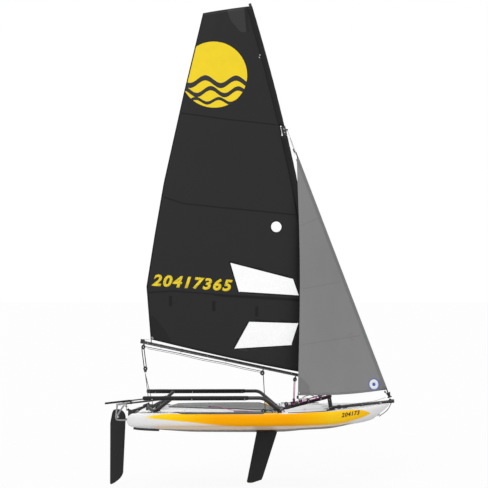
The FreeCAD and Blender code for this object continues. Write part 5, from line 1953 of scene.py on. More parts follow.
class Sail:
    """A cut sail: cloth on a grid, panes of other stuff cut in, and things stuck or sewn on it."""

    def __init__(
        self, surface: Callable[[float, float], Vector], columns: int, rows: int, rest: Matrix, body: Body
    ) -> None:
        """Lays the cloth out.

        Args:
            surface: The cloth's point at shares of its chord, from the luff, and of its height.
            columns: Faces along the chord.
            rows: Faces up the height.
            rest: The turn from the boat's middle plane to how the sail is stored.
            body: The body that it rides on.
        """
        self.rest, self.body = rest, body
        self.mesh = bmesh.new()
        grid = [
            [self.mesh.verts.new(surface(c / columns, r / rows)) for c in range(columns + 1)]
            for r in range(rows + 1)
        ]
        for low, high in zip(grid, grid[1:]):
            for c in range(columns):
                self.mesh.faces.new((low[c], low[c + 1], high[c + 1], high[c]))
        self.mesh.normal_update()
        self.tree = BVHTree.FromBMesh(self.mesh)
        self.sewn: list[Piece] = []

    def depth(self, x: float, z: float) -> Optional[float]:
        """The cloth's Y at a place, or None beside it."""
        hit = self.tree.ray_cast(Vector((x, -3, z)), PORTWARD)[0]
        return hit.y if hit else None

    def pane(self, outline: Sequence[Flat], mark: int) -> None:
        """Cuts a convex outline into the cloth and marks what is inside.

        Args:
            outline: Its corners along the boat and up.
            mark: The finish's number.
        """
        middle = Vector((sum(x for x, _ in outline), 0, sum(z for _, z in outline))) / len(outline)
        for (x, z), (u, w) in sides_of(outline):
            start, end = Vector((x, 0, z)), Vector((u, 0, w))
            along = (end - start).normalized()
            out = Vector((along.z, 0, -along.x))
            out = -out if (middle - start).dot(out) > 0 else out
            length = (end - start).length
            parts = set()
            for face in self.mesh.faces:
                spots = [corner.co - start for corner in face.verts]
                gone = [spot.x * along.x + spot.z * along.z for spot in spots]
                off = [spot.x * out.x + spot.z * out.z for spot in spots]
                if max(gone) > -0.004 and min(gone) < length + 0.004 and max(off) > 0 > min(off):
                    parts.update((face, *face.edges, *face.verts))
            bmesh.ops.bisect_plane(self.mesh, geom=list(parts), dist=1e-5, plane_co=start, plane_no=out)
        for face in self.mesh.faces:
            spot = face.calc_center_median()
            turns = [
                ((u - x) * (spot.z - z) - (w - z) * (spot.x - x))
                * ((u - x) * (middle.z - z) - (w - z) * (middle.x - x))
                for (x, z), (u, w) in sides_of(outline)
            ]
            if min(turns) > 0:
                face.material_index = mark

    def strip(
        self, name: str, lines: Sequence[Sequence[Flat]], width: float, finish: Finish, lift: float = 0.0009
    ) -> None:
        """Sews tape along lines, on both faces of the cloth.

        Args:
            name: The piece's name.
            lines: Each line's places along the boat and up.
            width: The tape's width.
            finish: Its finish.
            lift: How far it stands off the cloth's middle.
        """
        shape = Shape()
        rise = Vector((0, lift, 0))
        for line in lines:
            rows = []
            flat = [Vector((x, 0, z)) for x, z in line]
            for start, end in zip(flat, flat[1:]):
                steps = max(1, round((end - start).length / 0.03))
                along = (end - start).normalized()
                beside = Vector((-along.z, 0, along.x)) * width / 2
                for step in range(steps + (end is flat[-1])):
                    spot = start.lerp(end, step / steps)
                    near = [spot - beside, spot + beside]
                    depths = [self.depth(place.x, place.z) for place in near]
                    if None not in depths:
                        low, high = [Vector((place.x, depth, place.z)) for place, depth in zip(near, depths)]
                        rows.append([low - rise, high - rise, high + rise, low + rise])
            if len(rows) > 1:
                shape.solid(rows)
        self.sewn.append(shape.moved(self.rest).piece(name, self.body, [finish]))

    def stick(
        self, name: str, triangles: dict[Side, Sequence[Sequence[Flat]]], finish: Finish, lift: float = 0.0011
    ) -> None:
        """Sticks flat triangles on each face of the cloth, as one piece for each side.

        Args:
            name: The pieces' name, without the side.
            triangles: For each side, their corners along the boat and up.
            finish: Their finish.
            lift: How far they stand off the cloth's middle.
        """
        for side, rows in triangles.items():
            shape = Shape()
            for row in rows:
                depths = [self.depth(x, z) for x, z in row]
                if None not in depths:
                    corners = [(x, depth + side.value * lift, z) for (x, z), depth in zip(row, depths)]
                    shape.add(corners, [(0, 1, 2)])
            piece = shape.moved(self.rest).piece(f"{name}_{side.word}", self.body, [finish], thick=0.0004)
            self.sewn.append(piece)

    def part(self, mark: Optional[int] = None, drop: Optional[int] = None) -> Shape:
        """The faces of one mark, or all but one.

        Args:
            mark: The mark that is taken, or None for all.
            drop: The mark that is left out.

        Returns:
            The faces as a shape with their marks.
        """
        shape = Shape()
        used: dict[int, int] = {}
        self.mesh.verts.index_update()
        for face in self.mesh.faces:
            if face.material_index == drop or mark not in (None, face.material_index):
                continue
            for corner in face.verts:
                if corner.index not in used:
                    used[corner.index] = len(shape.points)
                    shape.points.append(corner.co.copy())
            shape.faces.append(tuple(used[corner.index] for corner in face.verts))
            shape.marks.append(face.material_index if mark is None else 0)
        return shape.moved(self.rest)


@dataclass
class Mainsail:
    """The sleeved mainsail with its clear windows, seams, reef marks, roundel and number."""

    camber: float = 0.035
    front_gap: float = 0.050
    bare_gap: float = 0.036
    sleeve_tail: float = 0.056
    cloth: float = 0.0006
    sleeve_area: float = 0.83
    sections: tuple[tuple[float, float, float], ...] = (
        # luff_height, leech, leech_height
        (0.628, -1.403, 1.113), (1.480, -1.459, 1.789), (2.260, -1.355, 2.458),
        (3.010, -1.240, 3.130), (4.200, -0.985, 4.290), (5.452, -0.733, 5.352),
    )
    windows: tuple[tuple[Flat, ...], ...] = (
        ((-0.394, 2.107), (0.444, 1.895), (0.522, 1.669), (-0.280, 1.718)),
        ((-0.144, 1.345), (0.514, 1.323), (0.415, 1.028), (-0.345, 0.985)),
    )
    eye: tuple[float, float, float] = (0.219, 2.566, 0.077)
    roundel: tuple[float, float, float] = (-0.592, 4.543, 0.434)
    clew: Flat = (-1.403, 1.113)
    tack: Flat = (0.80, 0.628)
    head: Flat = (-0.73, 5.36)
    figures: Flat = (-1.388, -0.353)
    figures_level: float = 1.808

    def edges(self, share: float) -> tuple[float, Vector]:
        """The luff's height and the leech's place at a share of the height.

        Args:
            share: Share of the height, from the foot.

        Returns:
            The height and the place.
        """
        foot, top = self.sections[0][0], self.sections[-1][0]
        luff = foot + (top - foot) * share
        low, high, t = bracket(self.sections, luff)
        return luff, Vector((low[1], 0, low[2])).lerp(Vector((high[1], 0, high[2])), t)

    def surface(self, chord: float, share: float) -> Vector:
        """The cloth's point, with its camber and its creases.

        Args:
            chord: Share of the chord, from the luff.
            share: Share of the height, from the foot.

        Returns:
            The point.
        """
        luff, leech = self.edges(share)
        gap = self.bare_gap if 3.755 < luff < 3.895 else self.front_gap
        front = Vector((mast_x(luff) - gap, 0, luff))
        spot = front.lerp(leech, chord)
        if share < 0.12:
            spot.z -= 0.020 * math.sin(math.pi * chord) * (1 - share / 0.12)
        length = (leech - front).length
        bulge = 4 * chord * (1 - chord) * (1 - 0.15 * (chord - 0.5)) * self.camber * length
        wave = noise.noise(Vector((chord * 2.2 + 3, share * 9, 0.5)))
        crease = 0.0030 * wave * math.sin(math.pi * min(1, chord * 1.05))
        near_head = math.exp(-((share - 0.97) / 0.05) ** 2)
        fan = 0.0022 * math.sin(18 * chord + 5 * share) * near_head * chord * (1 - chord) * 4
        clew = (Vector((self.clew[0], 0, self.clew[1])) - Vector((spot.x, 0, spot.z))).length
        rays = math.sin(34 * math.atan2(spot.z - 1.05, spot.x + 1.55))
        fan += 0.0020 * rays * math.exp(-clew / 0.30) * min(1, clew / 0.08)
        luffing = 0.0016 * math.sin(luff * 21) * math.exp(-chord / 0.06) * min(1, chord / 0.01)
        spot.y = -bulge + crease + fan + luffing
        return spot

    def sleeves(self, shape: Shape, sail: Sail) -> None:
        """The luff sleeve's two parts, which wrap the mast below and above the hounds.

        Args:
            shape: What they are added to.
            sail: The sail that they are on.
        """
        side = [0.75, 0.5, 0.25]
        for low, high in ((0.650, 3.758), (3.890, 5.452)):
            rows = []
            for z in spaced(low, high, max(8, round((high - low) / 0.045))):
                middle = mast_x(z)
                radius = (0.025 if z <= MAST_BEND[1] else 0.018) + 0.0038
                radius += 0.0006 * math.sin(z * 41) + 0.0004 * math.sin(z * 97)
                tail = middle - self.sleeve_tail
                depth = sail.depth(min(tail + 0.002, middle - self.front_gap - 0.001), z) or 0.0
                turns = [math.pi * t * 1.12 for t in spaced(-0.5, 0.5, 16)]
                ring = [(middle + radius * math.cos(turn), radius * math.sin(turn), z) for turn in turns]

                def flank(corner: Point, off: float, shares: Iterable[float]) -> list[Point]:
                    """One side of the sleeve, from the mast to its tail.

                    Args:
                        corner: Where it leaves the mast.
                        off: How far it stands off at the tail.
                        shares: Its places, as shares from the tail.

                    Returns:
                        Its points.
                    """
                    return [(
                        tail + (corner[0] - tail) * t, depth + off + (corner[1] - depth) * t ** 1.25, z
                    ) for t in shares]

                out, back = flank(ring[-1], 0.0012, side), flank(ring[0], -0.0012, reversed(side))
                rows.append(ring + out + [(tail, depth + 0.0014, z), (tail, depth - 0.0014, z)] + back)
            shape.sheet([[sail.rest @ Vector(point) for point in row] for row in rows], 1, around=True)

    def build(self) -> Sail:
        """Makes the mainsail.

        Returns:
            The sail, for what is hung on it.
        """
        sail = Sail(self.surface, 58, 108, hinge_turn("rig_turn", RIG_REST), Body.RIG)
        for window in self.windows:
            sail.pane(window, 3)
        sail.pane(circle(self.eye[:2], self.eye[2], 28), 3)
        sail.pane(circle(self.roundel[:2], self.roundel[2], 56), 2)
        for mark, corner, *offsets in (
            (1, self.clew, (-0.05, -0.02), (0.30, -0.11), (0.20, 0.10), (0.04, 0.30), (-0.05, 0.28)),
            (1, self.tack, (0.1, -0.05), (0.02, 0.30), (-0.14, 0.24), (-0.30, 0.02), (-0.30, -0.03)),
            (4, self.head, (0.27, 0.12), (0.37, -0.12), (0.49, -0.25), (0.56, -0.25), (0.53, 0.14)),
            (1, self.head, (0.54, 0.10), (0.57, -0.24), (0.60, -0.24), (0.58, 0.10)),
        ):
            sail.pane(round_corner(corner, *offsets), mark)
        cloth = sail.part(drop=3)
        self.sleeves(cloth, sail)
        piece = cloth.piece(
            "mainsail_cloth", Body.RIG, [BLACK_CLOTH, BLACK_PATCH, ROUNDEL, SEAM_TAPE, HEAD_PANEL],
            Slot.MAIN_CLOTH, thick=self.cloth, angle=80,
        )
        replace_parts(piece, "mainsail", "sail_windows")
        self.trim(sail)
        self.marks(sail)
        film = sail.part(3).piece("mainsail_film", Body.RIG, [FILM], Slot.FILM, thick=0.0004, angle=80)
        outline = [(mast_x(luff) - self.front_gap, luff) for luff, _, _ in self.sections]
        outline += [row[1:] for row in reversed(self.sections)]
        return sail

    def trim(self, sail: Sail) -> None:
        """Seams, leech and foot tapes, frames of the windows and reef marks.

        Args:
            sail: The sail that they are on.
        """
        sail.strip("mainsail_seams", [
            [(-1.03, 4.04), (-0.40, 3.955), (0.235, 3.90)],
            [(-1.27, 2.955), (-0.99, 2.86), (-0.50, 2.81), (0.47, 2.725)],
            [(-1.452, 1.712), (-1.12, 1.733), (-0.487, 1.683), (0.53, 1.626)],
            [(-0.60, 1.680), (-0.487, 1.667), (0.53, 1.608)],
        ], 0.018, SEAM_TAPE)
        leech = [(x + 0.008, z) for _, x, z in self.sections]
        foot = [(self.surface(c / 20, 0).x, self.surface(c / 20, 0.002).z + 0.008) for c in range(1, 20)]
        sail.strip("mainsail_hems", [leech, foot], 0.015, SEAM_TAPE, lift=0.0011)
        x, z, radius = self.eye
        frames = [[*outline, outline[0]] for outline in self.windows]
        frames.append([*circle((x, z), radius, 28), (x + radius, z)])
        sail.strip("window_frames", frames, 0.016, SEAM_TAPE, lift=0.0010)
        places = ((-1.151, 1.605), (-0.596, 1.540), (-0.042, 1.468))
        reefs = [[(x, z + 0.065), (x, z - 0.065)] for x, z in places]
        sail.strip("reef_marks", reefs, 0.040, SEAM_TAPE, lift=0.0013)

    def marks(self, sail: Sail) -> None:
        """Plain figures above the seam, read from left to right on both faces, and two dots.

        Args:
            sail: The sail that they are on.
        """
        triangles = slanted("20417365", 0.142, 0.28, 0.0075)
        aft, front = self.figures
        stretch = (front - aft) / max(x for triangle in triangles for x, _ in triangle)
        fall = math.tan(math.radians(4.2))

        def placed(side: Side, a: float, b: float) -> Flat:
            """A corner of the figures on the sail."""
            x = aft + a * stretch if side is Side.STARBOARD else front - a * stretch
            return x, self.figures_level - (x - aft) * fall + b

        figures = {side: [[placed(side, *corner) for corner in row] for row in triangles] for side in Side}
        sail.stick("mainsail_number", figures, YELLOW)
        dots = []
        for spot in ((0.013, 4.815), (0.006, 4.783)):
            dots += [[spot, a, b] for a, b in sides_of(circle(spot, 0.007, 10))]
        sail.stick("luff_dots", {side: dots for side in Side}, WHITE)


@dataclass
class Jib:
    """The jib on its foil, with its luff sleeve, seams, corner patches, badge and telltales."""

    tack: float = 3.600
    head: float = 0.352
    clew_along: float = 3.216
    clew_out: float = 1.147
    off: float = 0.0083
    camber: float = 0.035
    foil: float = 0.0098
    luff_shares: tuple[Flat, ...] = ((0.0, 1.0), (0.33, 0.665), (0.66, 0.335), (1.0, 0.022))

    def surface(self, chord: float, share: float) -> Vector:
        """The cloth's point.

        Args:
            chord: Share of the chord, from the luff.
            share: Share of the height, from the foot.

        Returns:
            The point.
        """
        low, high, t = bracket(self.luff_shares, share)
        out = low[1] + (high[1] - low[1]) * t
        luff = self.tack + share * (self.head - self.tack)
        leech = self.head + out * (self.clew_along - self.head)
        front, back = on_stay(luff, self.off), on_stay(leech, out * self.clew_out + self.off)
        spot = front.lerp(back, chord)
        length = (back - front).length
        near = max(0.0, 1 - share / 0.10)
        spot.z -= (0.026 * math.sin(math.pi * chord) + 0.012 * chord) * near
        spot.x += 0.034 * math.sin(math.pi * share) ** 1.2 * chord ** 3
        sag = 0.0020 * noise.noise(Vector((chord * 2.5, share * 7, 4.0))) * math.sin(math.pi * chord)
        sag += 0.0015 * math.sin(share * 60) * math.exp(-chord / 0.07) * min(1, chord / 0.01)
        spot.y = -4 * chord * (1 - chord) * self.camber * length * (1 - 0.2 * (chord - 0.5)) + sag
        return spot

    def place(self, chord: float, share: float) -> Flat:
        """A place along the boat and up."""
        spot = self.surface(chord, share)
        return spot.x, spot.z

    def sleeve(self, sail: Sail) -> list[list[Vector]]:
        """The rows of the luff sleeve round the foil.

        Args:
            sail: The jib's cloth.

        Returns:
            The rows.
        """
        rows = []
        for along in spaced(self.tack - 0.01, self.head + 0.03, 60):
            centre = on_stay(along)
            ring = []
            for turn in (math.pi * t * 1.16 for t in spaced(-0.5, 0.5, 12)):
                side = Vector((0, self.foil * math.sin(turn), 0))
                ring.append(centre - STAY_AFT * self.foil * math.cos(turn) + side)
            tail = centre + STAY_AFT * 0.034
            hit = sail.depth((tail + STAY_DOWN * -0.004).x, tail.z) or 0.0
            ring += [tail + Vector((0, hit + 0.0012, 0)), tail + Vector((0, hit - 0.0012, 0))]
            rows.append([sail.rest @ point for point in ring])
        return rows

    def build(self) -> None:
        """Makes the jib and what is sewn to it."""
        sail = Sail(self.surface, 34, 84, hinge_turn("jib_swing", JIB_REST), Body.JIB)
        clew, tack = self.place(1.0, 0.0), self.place(0.0, 0.0)
        for corner, *offsets in (
            (clew, (-0.03, -0.05), (0.17, -0.08), (0.15, 0.12), (0.06, 0.22), (-0.01, 0.24)),
            (tack, (0.05, -0.05), (0.0, 0.18), (-0.10, 0.13), (-0.15, 0.02), (-0.12, -0.05)),
        ):
            sail.pane(round_corner(corner, *offsets), 1)
        cloth = sail.part()
        cloth.sheet(self.sleeve(sail), 1, around=True)
        piece = cloth.piece(
            "jib_cloth", Body.JIB, [GREY_CLOTH, GREY_PATCH], Slot.JIB_CLOTH, thick=0.0006, angle=80
        )
        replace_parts(piece, "jib")
        seams = [
            [self.place(c / 12, low + (high - low) * c / 12) for c in range(1, 13)]
            for low, high in ((0.74, 0.70), (0.465, 0.43), (0.235, 0.20))
        ]
        sail.strip("jib_seams", seams, 0.014, GREY_TAPE)
        leech = [self.place(0.994, step / 30) for step in range(31)]
        foot = [self.place(step / 12, 0.004) for step in range(1, 13)]
        sail.strip("jib_hems", [leech, foot], 0.013, GREY_TAPE, lift=0.0011)
        self.marks(sail)
        outline = [self.place(0, 0), self.place(1, 0), self.place(1, 1), self.place(0, 1)]

    def marks(self, sail: Sail) -> None:
        """A plain badge and four wool telltales.

        Args:
            sail: The sail that they are on.
        """
        centre = (1.478, 0.522)
        for name, outer, inner, finish, lift in (
            ("disc", 0.072, 1e-4, WHITE, 0.0010), ("ring", 0.077, 0.066, BLUE, 0.0015),
            ("dot", 0.022, 1e-4, BLUE, 0.0015),
        ):
            triangles = []
            rims = zip(sides_of(circle(centre, outer, 36)), sides_of(circle(centre, inner, 36)))
            for (far, far_after), (near, near_after) in rims:
                triangles += [[near, far, far_after], [near, far_after, near_after]]
            sail.stick(f"jib_badge_{name}", {side: triangles for side in Side}, finish, lift)
        strands = ((0, 0.001, 0), (-0.04, 0.005, -0.006), (-0.09, 0.004, -0.004), (-0.14, 0.006, -0.016))
        for number, (x, z) in enumerate(((1.208, 1.180), (1.222, 1.106))):
            depth = sail.depth(x, z) or 0.0
            for side in Side:
                line = [(x + a, depth + side.value * off, z + b) for a, off, b in strands]
                telltale = rope(f"telltale_{number}_{side.word}", line, 0.002, PINK_ROPE, Body.JIB, sail.rest)
                sail.sewn.append(telltale)


# ---------------------------------------------------------------- running gear


def run(low: Vector, high: Vector, steps: int, off: Point = (0, 0, 0)) -> list[Vector]:
    """A straight run of points, moved aside by an offset."""
    return [low.lerp(high, t) + Vector(off) for t in spaced(0.0, 1.0, steps)]


@dataclass
class BoomGear:
    """What hangs on the boom: outhaul, keepers, lashings, blocks and the sheet's run under it."""

    foot: float = 0.562
    rise: float = 12.2
    length: float = 2.475

    def __post_init__(self) -> None:
        """Works out the boom's line in the boat's middle plane."""
        turn = math.radians(self.rise)
        self.along = Vector((-math.cos(turn), 0, math.sin(turn)))
        self.down = Vector((-math.sin(turn), 0, -math.cos(turn)))
        self.front = Vector((mast_x(self.foot), 0, self.foot))

    def at(self, gone: float, under: float = 0.0, side: float = 0.0) -> Vector:
        """A point so far from the mast, below the boom's axis and to port, before the rig's turn."""
        return self.front + self.along * gone + self.down * under + Vector((0, side, 0))

    def build(self, sail: Sail) -> None:
        """Makes what rides with the boom and the mast.

        Args:
            sail: The mainsail that is laced to the boom.
        """
        self.bands(sail.rest)
        self.blocks(sail.rest)
        self.lashings(sail)
        self.mast_trim(sail.rest)

    def bands(self, rest: Matrix) -> None:
        """Straps, keepers with their rings, rivets and the end plug.

        Args:
            rest: How the rig is turned when stored.
        """
        shape = Shape()
        for gone in (0.770, 1.340, 1.930):
            shape.collar(self.at(gone), self.along, (0.0206, 0.0222), 0.009)
        for gone in (0.420, 0.853, 1.350, 1.943, 2.20):
            shape.collar(self.at(gone), self.along, (0.0206, 0.0218), 0.006, 24, 1)
            shape.ring(self.at(gone, 0.030), self.along, 0.0085, 0.0022, 2)
        for gone in (0.20, 0.48, 1.60, 2.38):
            for side in (1, -1):
                place = self.at(gone, 0.0, side * 0.0195)
                shape.button(place, (0, side, 0), (0.004, 0.0012), (0.0022, 0.0022), 10, 2)
        plug = [(0.0195, -0.001), (0.0215, 0.002), (0.0215, 0.030), (0.0185, 0.034), (0.006, 0.036)]
        shape.turned(plug, self.at(self.length - 0.034), self.along, 28, 1)
        shape.moved(rest).piece("boom_bands", Body.RIG, [STRAP, PLASTIC, STEEL], Slot.FITTING)

    def blocks(self, rest: Matrix) -> None:
        """Blocks under the boom, and the lines that run along it.

        Args:
            rest: How the rig is turned when stored.
        """
        blocks = Shape()
        for gone, under, size in ((2.425, 0.062, 0.029), (0.853, 0.070, 0.030), (0.420, 0.064, 0.026)):
            pulley(blocks, self.at(gone, under), -self.down, size)
        blocks.block(self.at(2.452, -0.026), (0.055, 0.026, 0.016), self.along)
        blocks.ring(self.at(0.420, 0.026), self.along, 0.010, 0.0025, 2)
        blocks.moved(rest).piece("boom_blocks", Body.RIG, BLOCKWORK, Slot.FITTING, ease=0.0012)
        under = [self.at(gone, low) for gone, low in (
            (2.44, 0.046), (2.37, 0.050), (1.943, 0.044), (1.65, 0.050), (1.35, 0.044), (1.10, 0.050),
            (0.875, 0.048),
        )]
        back = [point + self.down * 0.019 for point in under[1:]]
        beside = [self.at(*spot) for spot in (
            (2.44, 0.010, -0.024), (1.943, 0.006, -0.0235), (1.35, 0.008, -0.0235), (0.77, 0.010, -0.0235),
            (0.30, 0.014, -0.0235),
        )]
        rope("sheet_under_boom", under, 0.009, BLACK_ROPE, Body.RIG, rest)
        rope("sheet_return", back, 0.007, GREY_ROPE, Body.RIG, rest)
        rope("outhaul_line", beside, 0.005, GREY_ROPE, Body.RIG, rest)

    def lashings(self, sail: Sail) -> None:
        """The sail's eyelets, with what ties its clew and its tack.

        Args:
            sail: The mainsail.
        """
        clew = Vector((-1.392, 0, 1.122))
        lift = sail.depth(-1.385, 1.13) or 0.0
        strap = (
            (0.0, lift - 0.012, 0.004), (-0.004, -0.019, -0.030), (0.004, -0.021, -0.064), (0.004, 0, -0.086),
            (0.004, 0.021, -0.064), (-0.004, 0.019, -0.030), (0, lift + 0.012, 0.004),
        )
        rope("clew_strap", [clew + Vector(off) for off in strap], 0.010, STRAP, Body.RIG, sail.rest)
        outhaul = [clew + Vector(off) for off in ((-0.012, lift, 0.0), (-0.055, lift / 2 - 0.004, -0.012))]
        rope("outhaul", [*outhaul, self.at(2.452, -0.036)], 0.004, GREY_ROPE, Body.RIG, sail.rest)
        mast = mast_x(0.70)
        eyelets = Shape()
        for x, level, z, radius, thick in (
            (-1.384, 1.13, 1.132, 0.011, 0.0032), (mast - 0.075, 0.69, 0.690, 0.010, 0.003),
        ):
            eyelets.ring((x, sail.depth(x, level) or 0.0, z), PORTWARD, radius, thick)
        eyelets.moved(sail.rest).piece("main_eyelets", Body.RIG, [STEEL], Slot.WIRE)
        tack = [
            self.at(0.10, -0.020, 0.012), (mast - 0.072, 0.008, 0.700), (mast - 0.078, -0.006, 0.690),
            self.at(0.11, -0.020, -0.012),
        ]
        rope("tack_lashing", tack, 0.004, GREY_ROPE, Body.RIG, sail.rest)

    def mast_trim(self, rest: Matrix) -> None:
        """The mast's top cap, and the bolts at the hounds and the gooseneck.

        Args:
            rest: How the rig is turned when stored.
        """
        shape = Shape()
        top = Vector((mast_x(5.488), 0, 5.488))
        way = (top - Vector((mast_x(5.42), 0, 5.42))).normalized()
        cap = [(0.0178, -0.004), (0.0186, -0.002), (0.0186, 0.0015), (0.014, 0.0045), (0.004, 0.0055)]
        shape.turned(cap, top - way * 0.002, way)
        small, large = ((0.006, 0.0025), (0.003, 0.004)), ((0.0065, 0.003), (0.003, 0.0045))
        bolts = ((3.80, 0.0315, small), (3.842, 0.0315, small), (0.62, 0.0335, large), (0.52, 0.0335, large))
        for z, out, head in bolts:
            for side in (1, -1):
                shape.button((mast_x(z), side * out, z), (0, side, 0), *head, 10, 1)
        shape.moved(rest).piece("mast_trim", Body.RIG, [PLASTIC, STEEL], Slot.FITTING)


@dataclass
class Mainsheet:
    """The mainsheet's falls at the stern and at mid boat, with the bridle and lower blocks."""

    gear: BoomGear
    hull: Hull
    bridle: Flat = (-1.39, 0.50)
    lower: Point = (-1.470, 0.0, 0.736)
    ratchet: Point = (0.055, -0.058, 0.185)

    def build(self, rest: Matrix) -> None:
        """Makes the sheet's pieces.

        Args:
            rest: How the rig is turned when stored.
        """
        low, top = Vector(self.lower), rest @ self.gear.at(2.425, 0.085)
        centre, middle = Vector(self.ratchet), rest @ self.gear.at(0.853, 0.094)
        pair = [run(low, top, 10, (side * 0.014, side * 0.004, 0)) for side in (1, -1)]
        falls("mainsheet_falls", BLACK_ROPE, pair, 0.0062)
        blocks = Shape()
        pulley(blocks, low - UP * 0.004, -UP, 0.029)
        blocks.block(low - UP * 0.012, (0.034, 0.030, 0.070))
        blocks.ring(low - UP * 0.062, AHEAD, 0.010, 0.0022, 2)
        pulley(blocks, centre, -UP, 0.029)
        post = [(0.030, 0), (0.030, 0.006), (0.020, 0.012), (0.012, 0.020), (0.010, 0.050)]
        blocks.turned(post, (centre.x, centre.y, self.hull.deck_level(centre.x, centre.y) + 0.012), UP, 24)
        blocks.piece("mainsheet_blocks", Body.HULL, BLOCKWORK, Slot.FITTING, ease=0.001)
        knot = low - UP * 0.074
        x, y = self.bridle
        for side in Side:
            foot = Vector((x, side.value * y, self.hull.deck_level(x, y) + 0.036))
            leg = [knot, knot.lerp(foot, 0.5) - UP * 0.004, foot]
            rope(f"bridle_{side.word}", leg, 0.009, BLACK_ROPE)
            loop = Shape()
            loop.ring(foot - UP * 0.018, (0, 1, 0.2), 0.021, 0.0028)
            loop.piece(f"bridle_loop_{side.word}", Body.HULL, [BLACK_ROPE])
        drop = run(centre + AHEAD * 0.024, middle + AHEAD * 0.018, 12)
        falls("mainsheet_drop", BLACK_ROPE, [drop], 0.0055)


@dataclass
class Vang:
    """The kicking strap between the boom and the strut."""

    gear: BoomGear
    low: Point = (0.452, 0.0, 0.325)

    def build(self, rest: Matrix) -> None:
        """Makes the vang's lines and its lower block.

        Args:
            rest: How the rig is turned when stored.
        """
        low, top = Vector(self.low), rest @ self.gear.at(0.420, 0.086)
        pair = [run(low, top, 8, (spread, 0, 0)) for spread in (0.007, -0.007)]
        falls("vang_falls", PINK_ROPE, pair, 0.0045)
        block = Shape()
        pulley(block, low, -UP, 0.019)
        block.piece("vang_block", Body.HULL, BLOCKWORK, Slot.FITTING, ease=0.001)


@dataclass
class StrutTackle:
    """Blocks, cleats and control lines along the strut in front of the mast, and the jib's sheet."""

    aft: Point = (0.305, 0, 0.210)
    front: Point = (0.909, 0, 0.366)

    def __post_init__(self) -> None:
        """Works out the strut's direction."""
        self.along = (Vector(self.front) - Vector(self.aft)).normalized()
        self.up = Vector((-self.along.z, 0, self.along.x))

    def at(self, share: float, above: float = 0.0, side: float = 0.0) -> Vector:
        """A point by the strut: a share along it, above it and to port of it."""
        return Vector(self.aft).lerp(Vector(self.front), share) + self.up * above + Vector((0, side, 0))

    def line(self, *spots: Point) -> list[Vector]:
        """Points by the strut."""
        return [self.at(*spot) for spot in spots]

    def build(self) -> None:
        """Makes the tackle."""
        self.fittings()
        self.ropes()
        self.jib_sheet()

    def fittings(self) -> None:
        """Cleats, blocks, bands and housings on the strut."""
        shape = Shape()
        for side in (1, -1):
            lean = self.up + Vector((0, side * 0.35, 0))
            cleat(shape, self.at(0.30, 0.012, side * 0.034), self.along, lean, 0.082)
        for share, above, side, size in (
            (0.10, 0.046, 0.0, 0.028), (0.40, 0.044, 0.014, 0.026), (0.56, 0.020, -0.036, 0.024),
            (0.82, 0.040, -0.024, 0.023), (0.82, 0.040, 0.024, 0.023),
        ):
            pulley(shape, self.at(share, above, side), -self.up, size)
        for share in (0.22, 0.42, 0.60, 0.82):
            shape.collar(self.at(share), self.along, (0.0188, 0.0205), 0.011)
        for share, above, side, size in (
            (0.12, 0.010, -0.050, 0.070), (0.12, 0.010, 0.050, 0.070), (-0.06, 0.004, -0.070, 0.060),
            (0.24, 0.040, 0.0, 0.064),
        ):
            shape.block(self.at(share, above, side), (size, 0.026, 0.036), self.along)
        shape.piece("strut_fittings", Body.HULL, BLOCKWORK, Slot.FITTING, ease=0.001)

    def ropes(self) -> None:
        """The tails and loops of the control lines."""
        tail = self.line(
            (0.34, 0.030, -0.020), (0.18, 0.028, -0.030), (0.02, 0.010, -0.040), (-0.02, -0.012, -0.050)
        )
        rope("vang_tail", [(0.452, -0.008, 0.306), *tail], 0.009, PINK_ROPE)
        for name, thick, finish, *spots in (
            ("downhaul", 0.008, PINK_ROPE, (0.16, 0.052, 0.0), (0.45, 0.045, -0.006), (0.80, 0.050, -0.020),
             (1.00, 0.090, -0.030)),
            ("downhaul_fall", 0.010, PINK_ROPE, (0.98, 0.020, -0.034), (0.80, 0.016, -0.030),
             (0.55, 0.022, -0.026), (0.30, 0.022, -0.030)),
            ("outhaul_tail", 0.007, BLACK_ROPE, (0.92, 0.030, 0.030), (0.66, 0.034, 0.030),
             (0.45, 0.028, 0.030), (0.20, 0.026, 0.030)),
            ("control_loop", 0.011, GREY_ROPE, (0.36, 0.030, 0.020), (0.48, 0.075, 0.010), (0.62, 0.082, 0.0),
             (0.70, 0.050, -0.010), (0.74, 0.026, -0.018)),
            ("control_loop_low", 0.010, WHITE_ROPE, (0.30, 0.030, -0.024), (0.40, 0.062, -0.030),
             (0.52, 0.060, -0.034), (0.60, 0.036, -0.036)),
        ):
            rope(name, self.line(*spots), thick, finish)

    def jib_sheet(self) -> None:
        """The jib's clew fitting, and the sheet that sags a little down to the strut."""
        clew = hinge_turn("jib_swing", JIB_REST) @ on_stay(3.205, 1.140)
        fitting = Shape()
        fitting.ring(clew, (0.3, 1, 0), 0.012, 0.0034, 1)
        fitting.ring(clew + Vector((-0.010, 0, -0.022)), (1, 0, 0.4), 0.010, 0.0024, 1)
        fitting.block(clew + Vector((-0.012, 0, -0.052)), (0.026, 0.014, 0.040))
        fitting.piece("jib_clew_fitting", Body.JIB, [PLASTIC, STEEL], Slot.FITTING, ease=0.001)
        low, high = self.at(0.42, 0.050, 0.010), clew + Vector((-0.012, 0, -0.070))
        sheet = [low.lerp(high, t) - UP * 0.006 * math.sin(math.pi * t) for t in spaced(0.0, 1.0, 8)]
        falls("jib_sheet", GREY_ROPE, [sheet], 0.003)


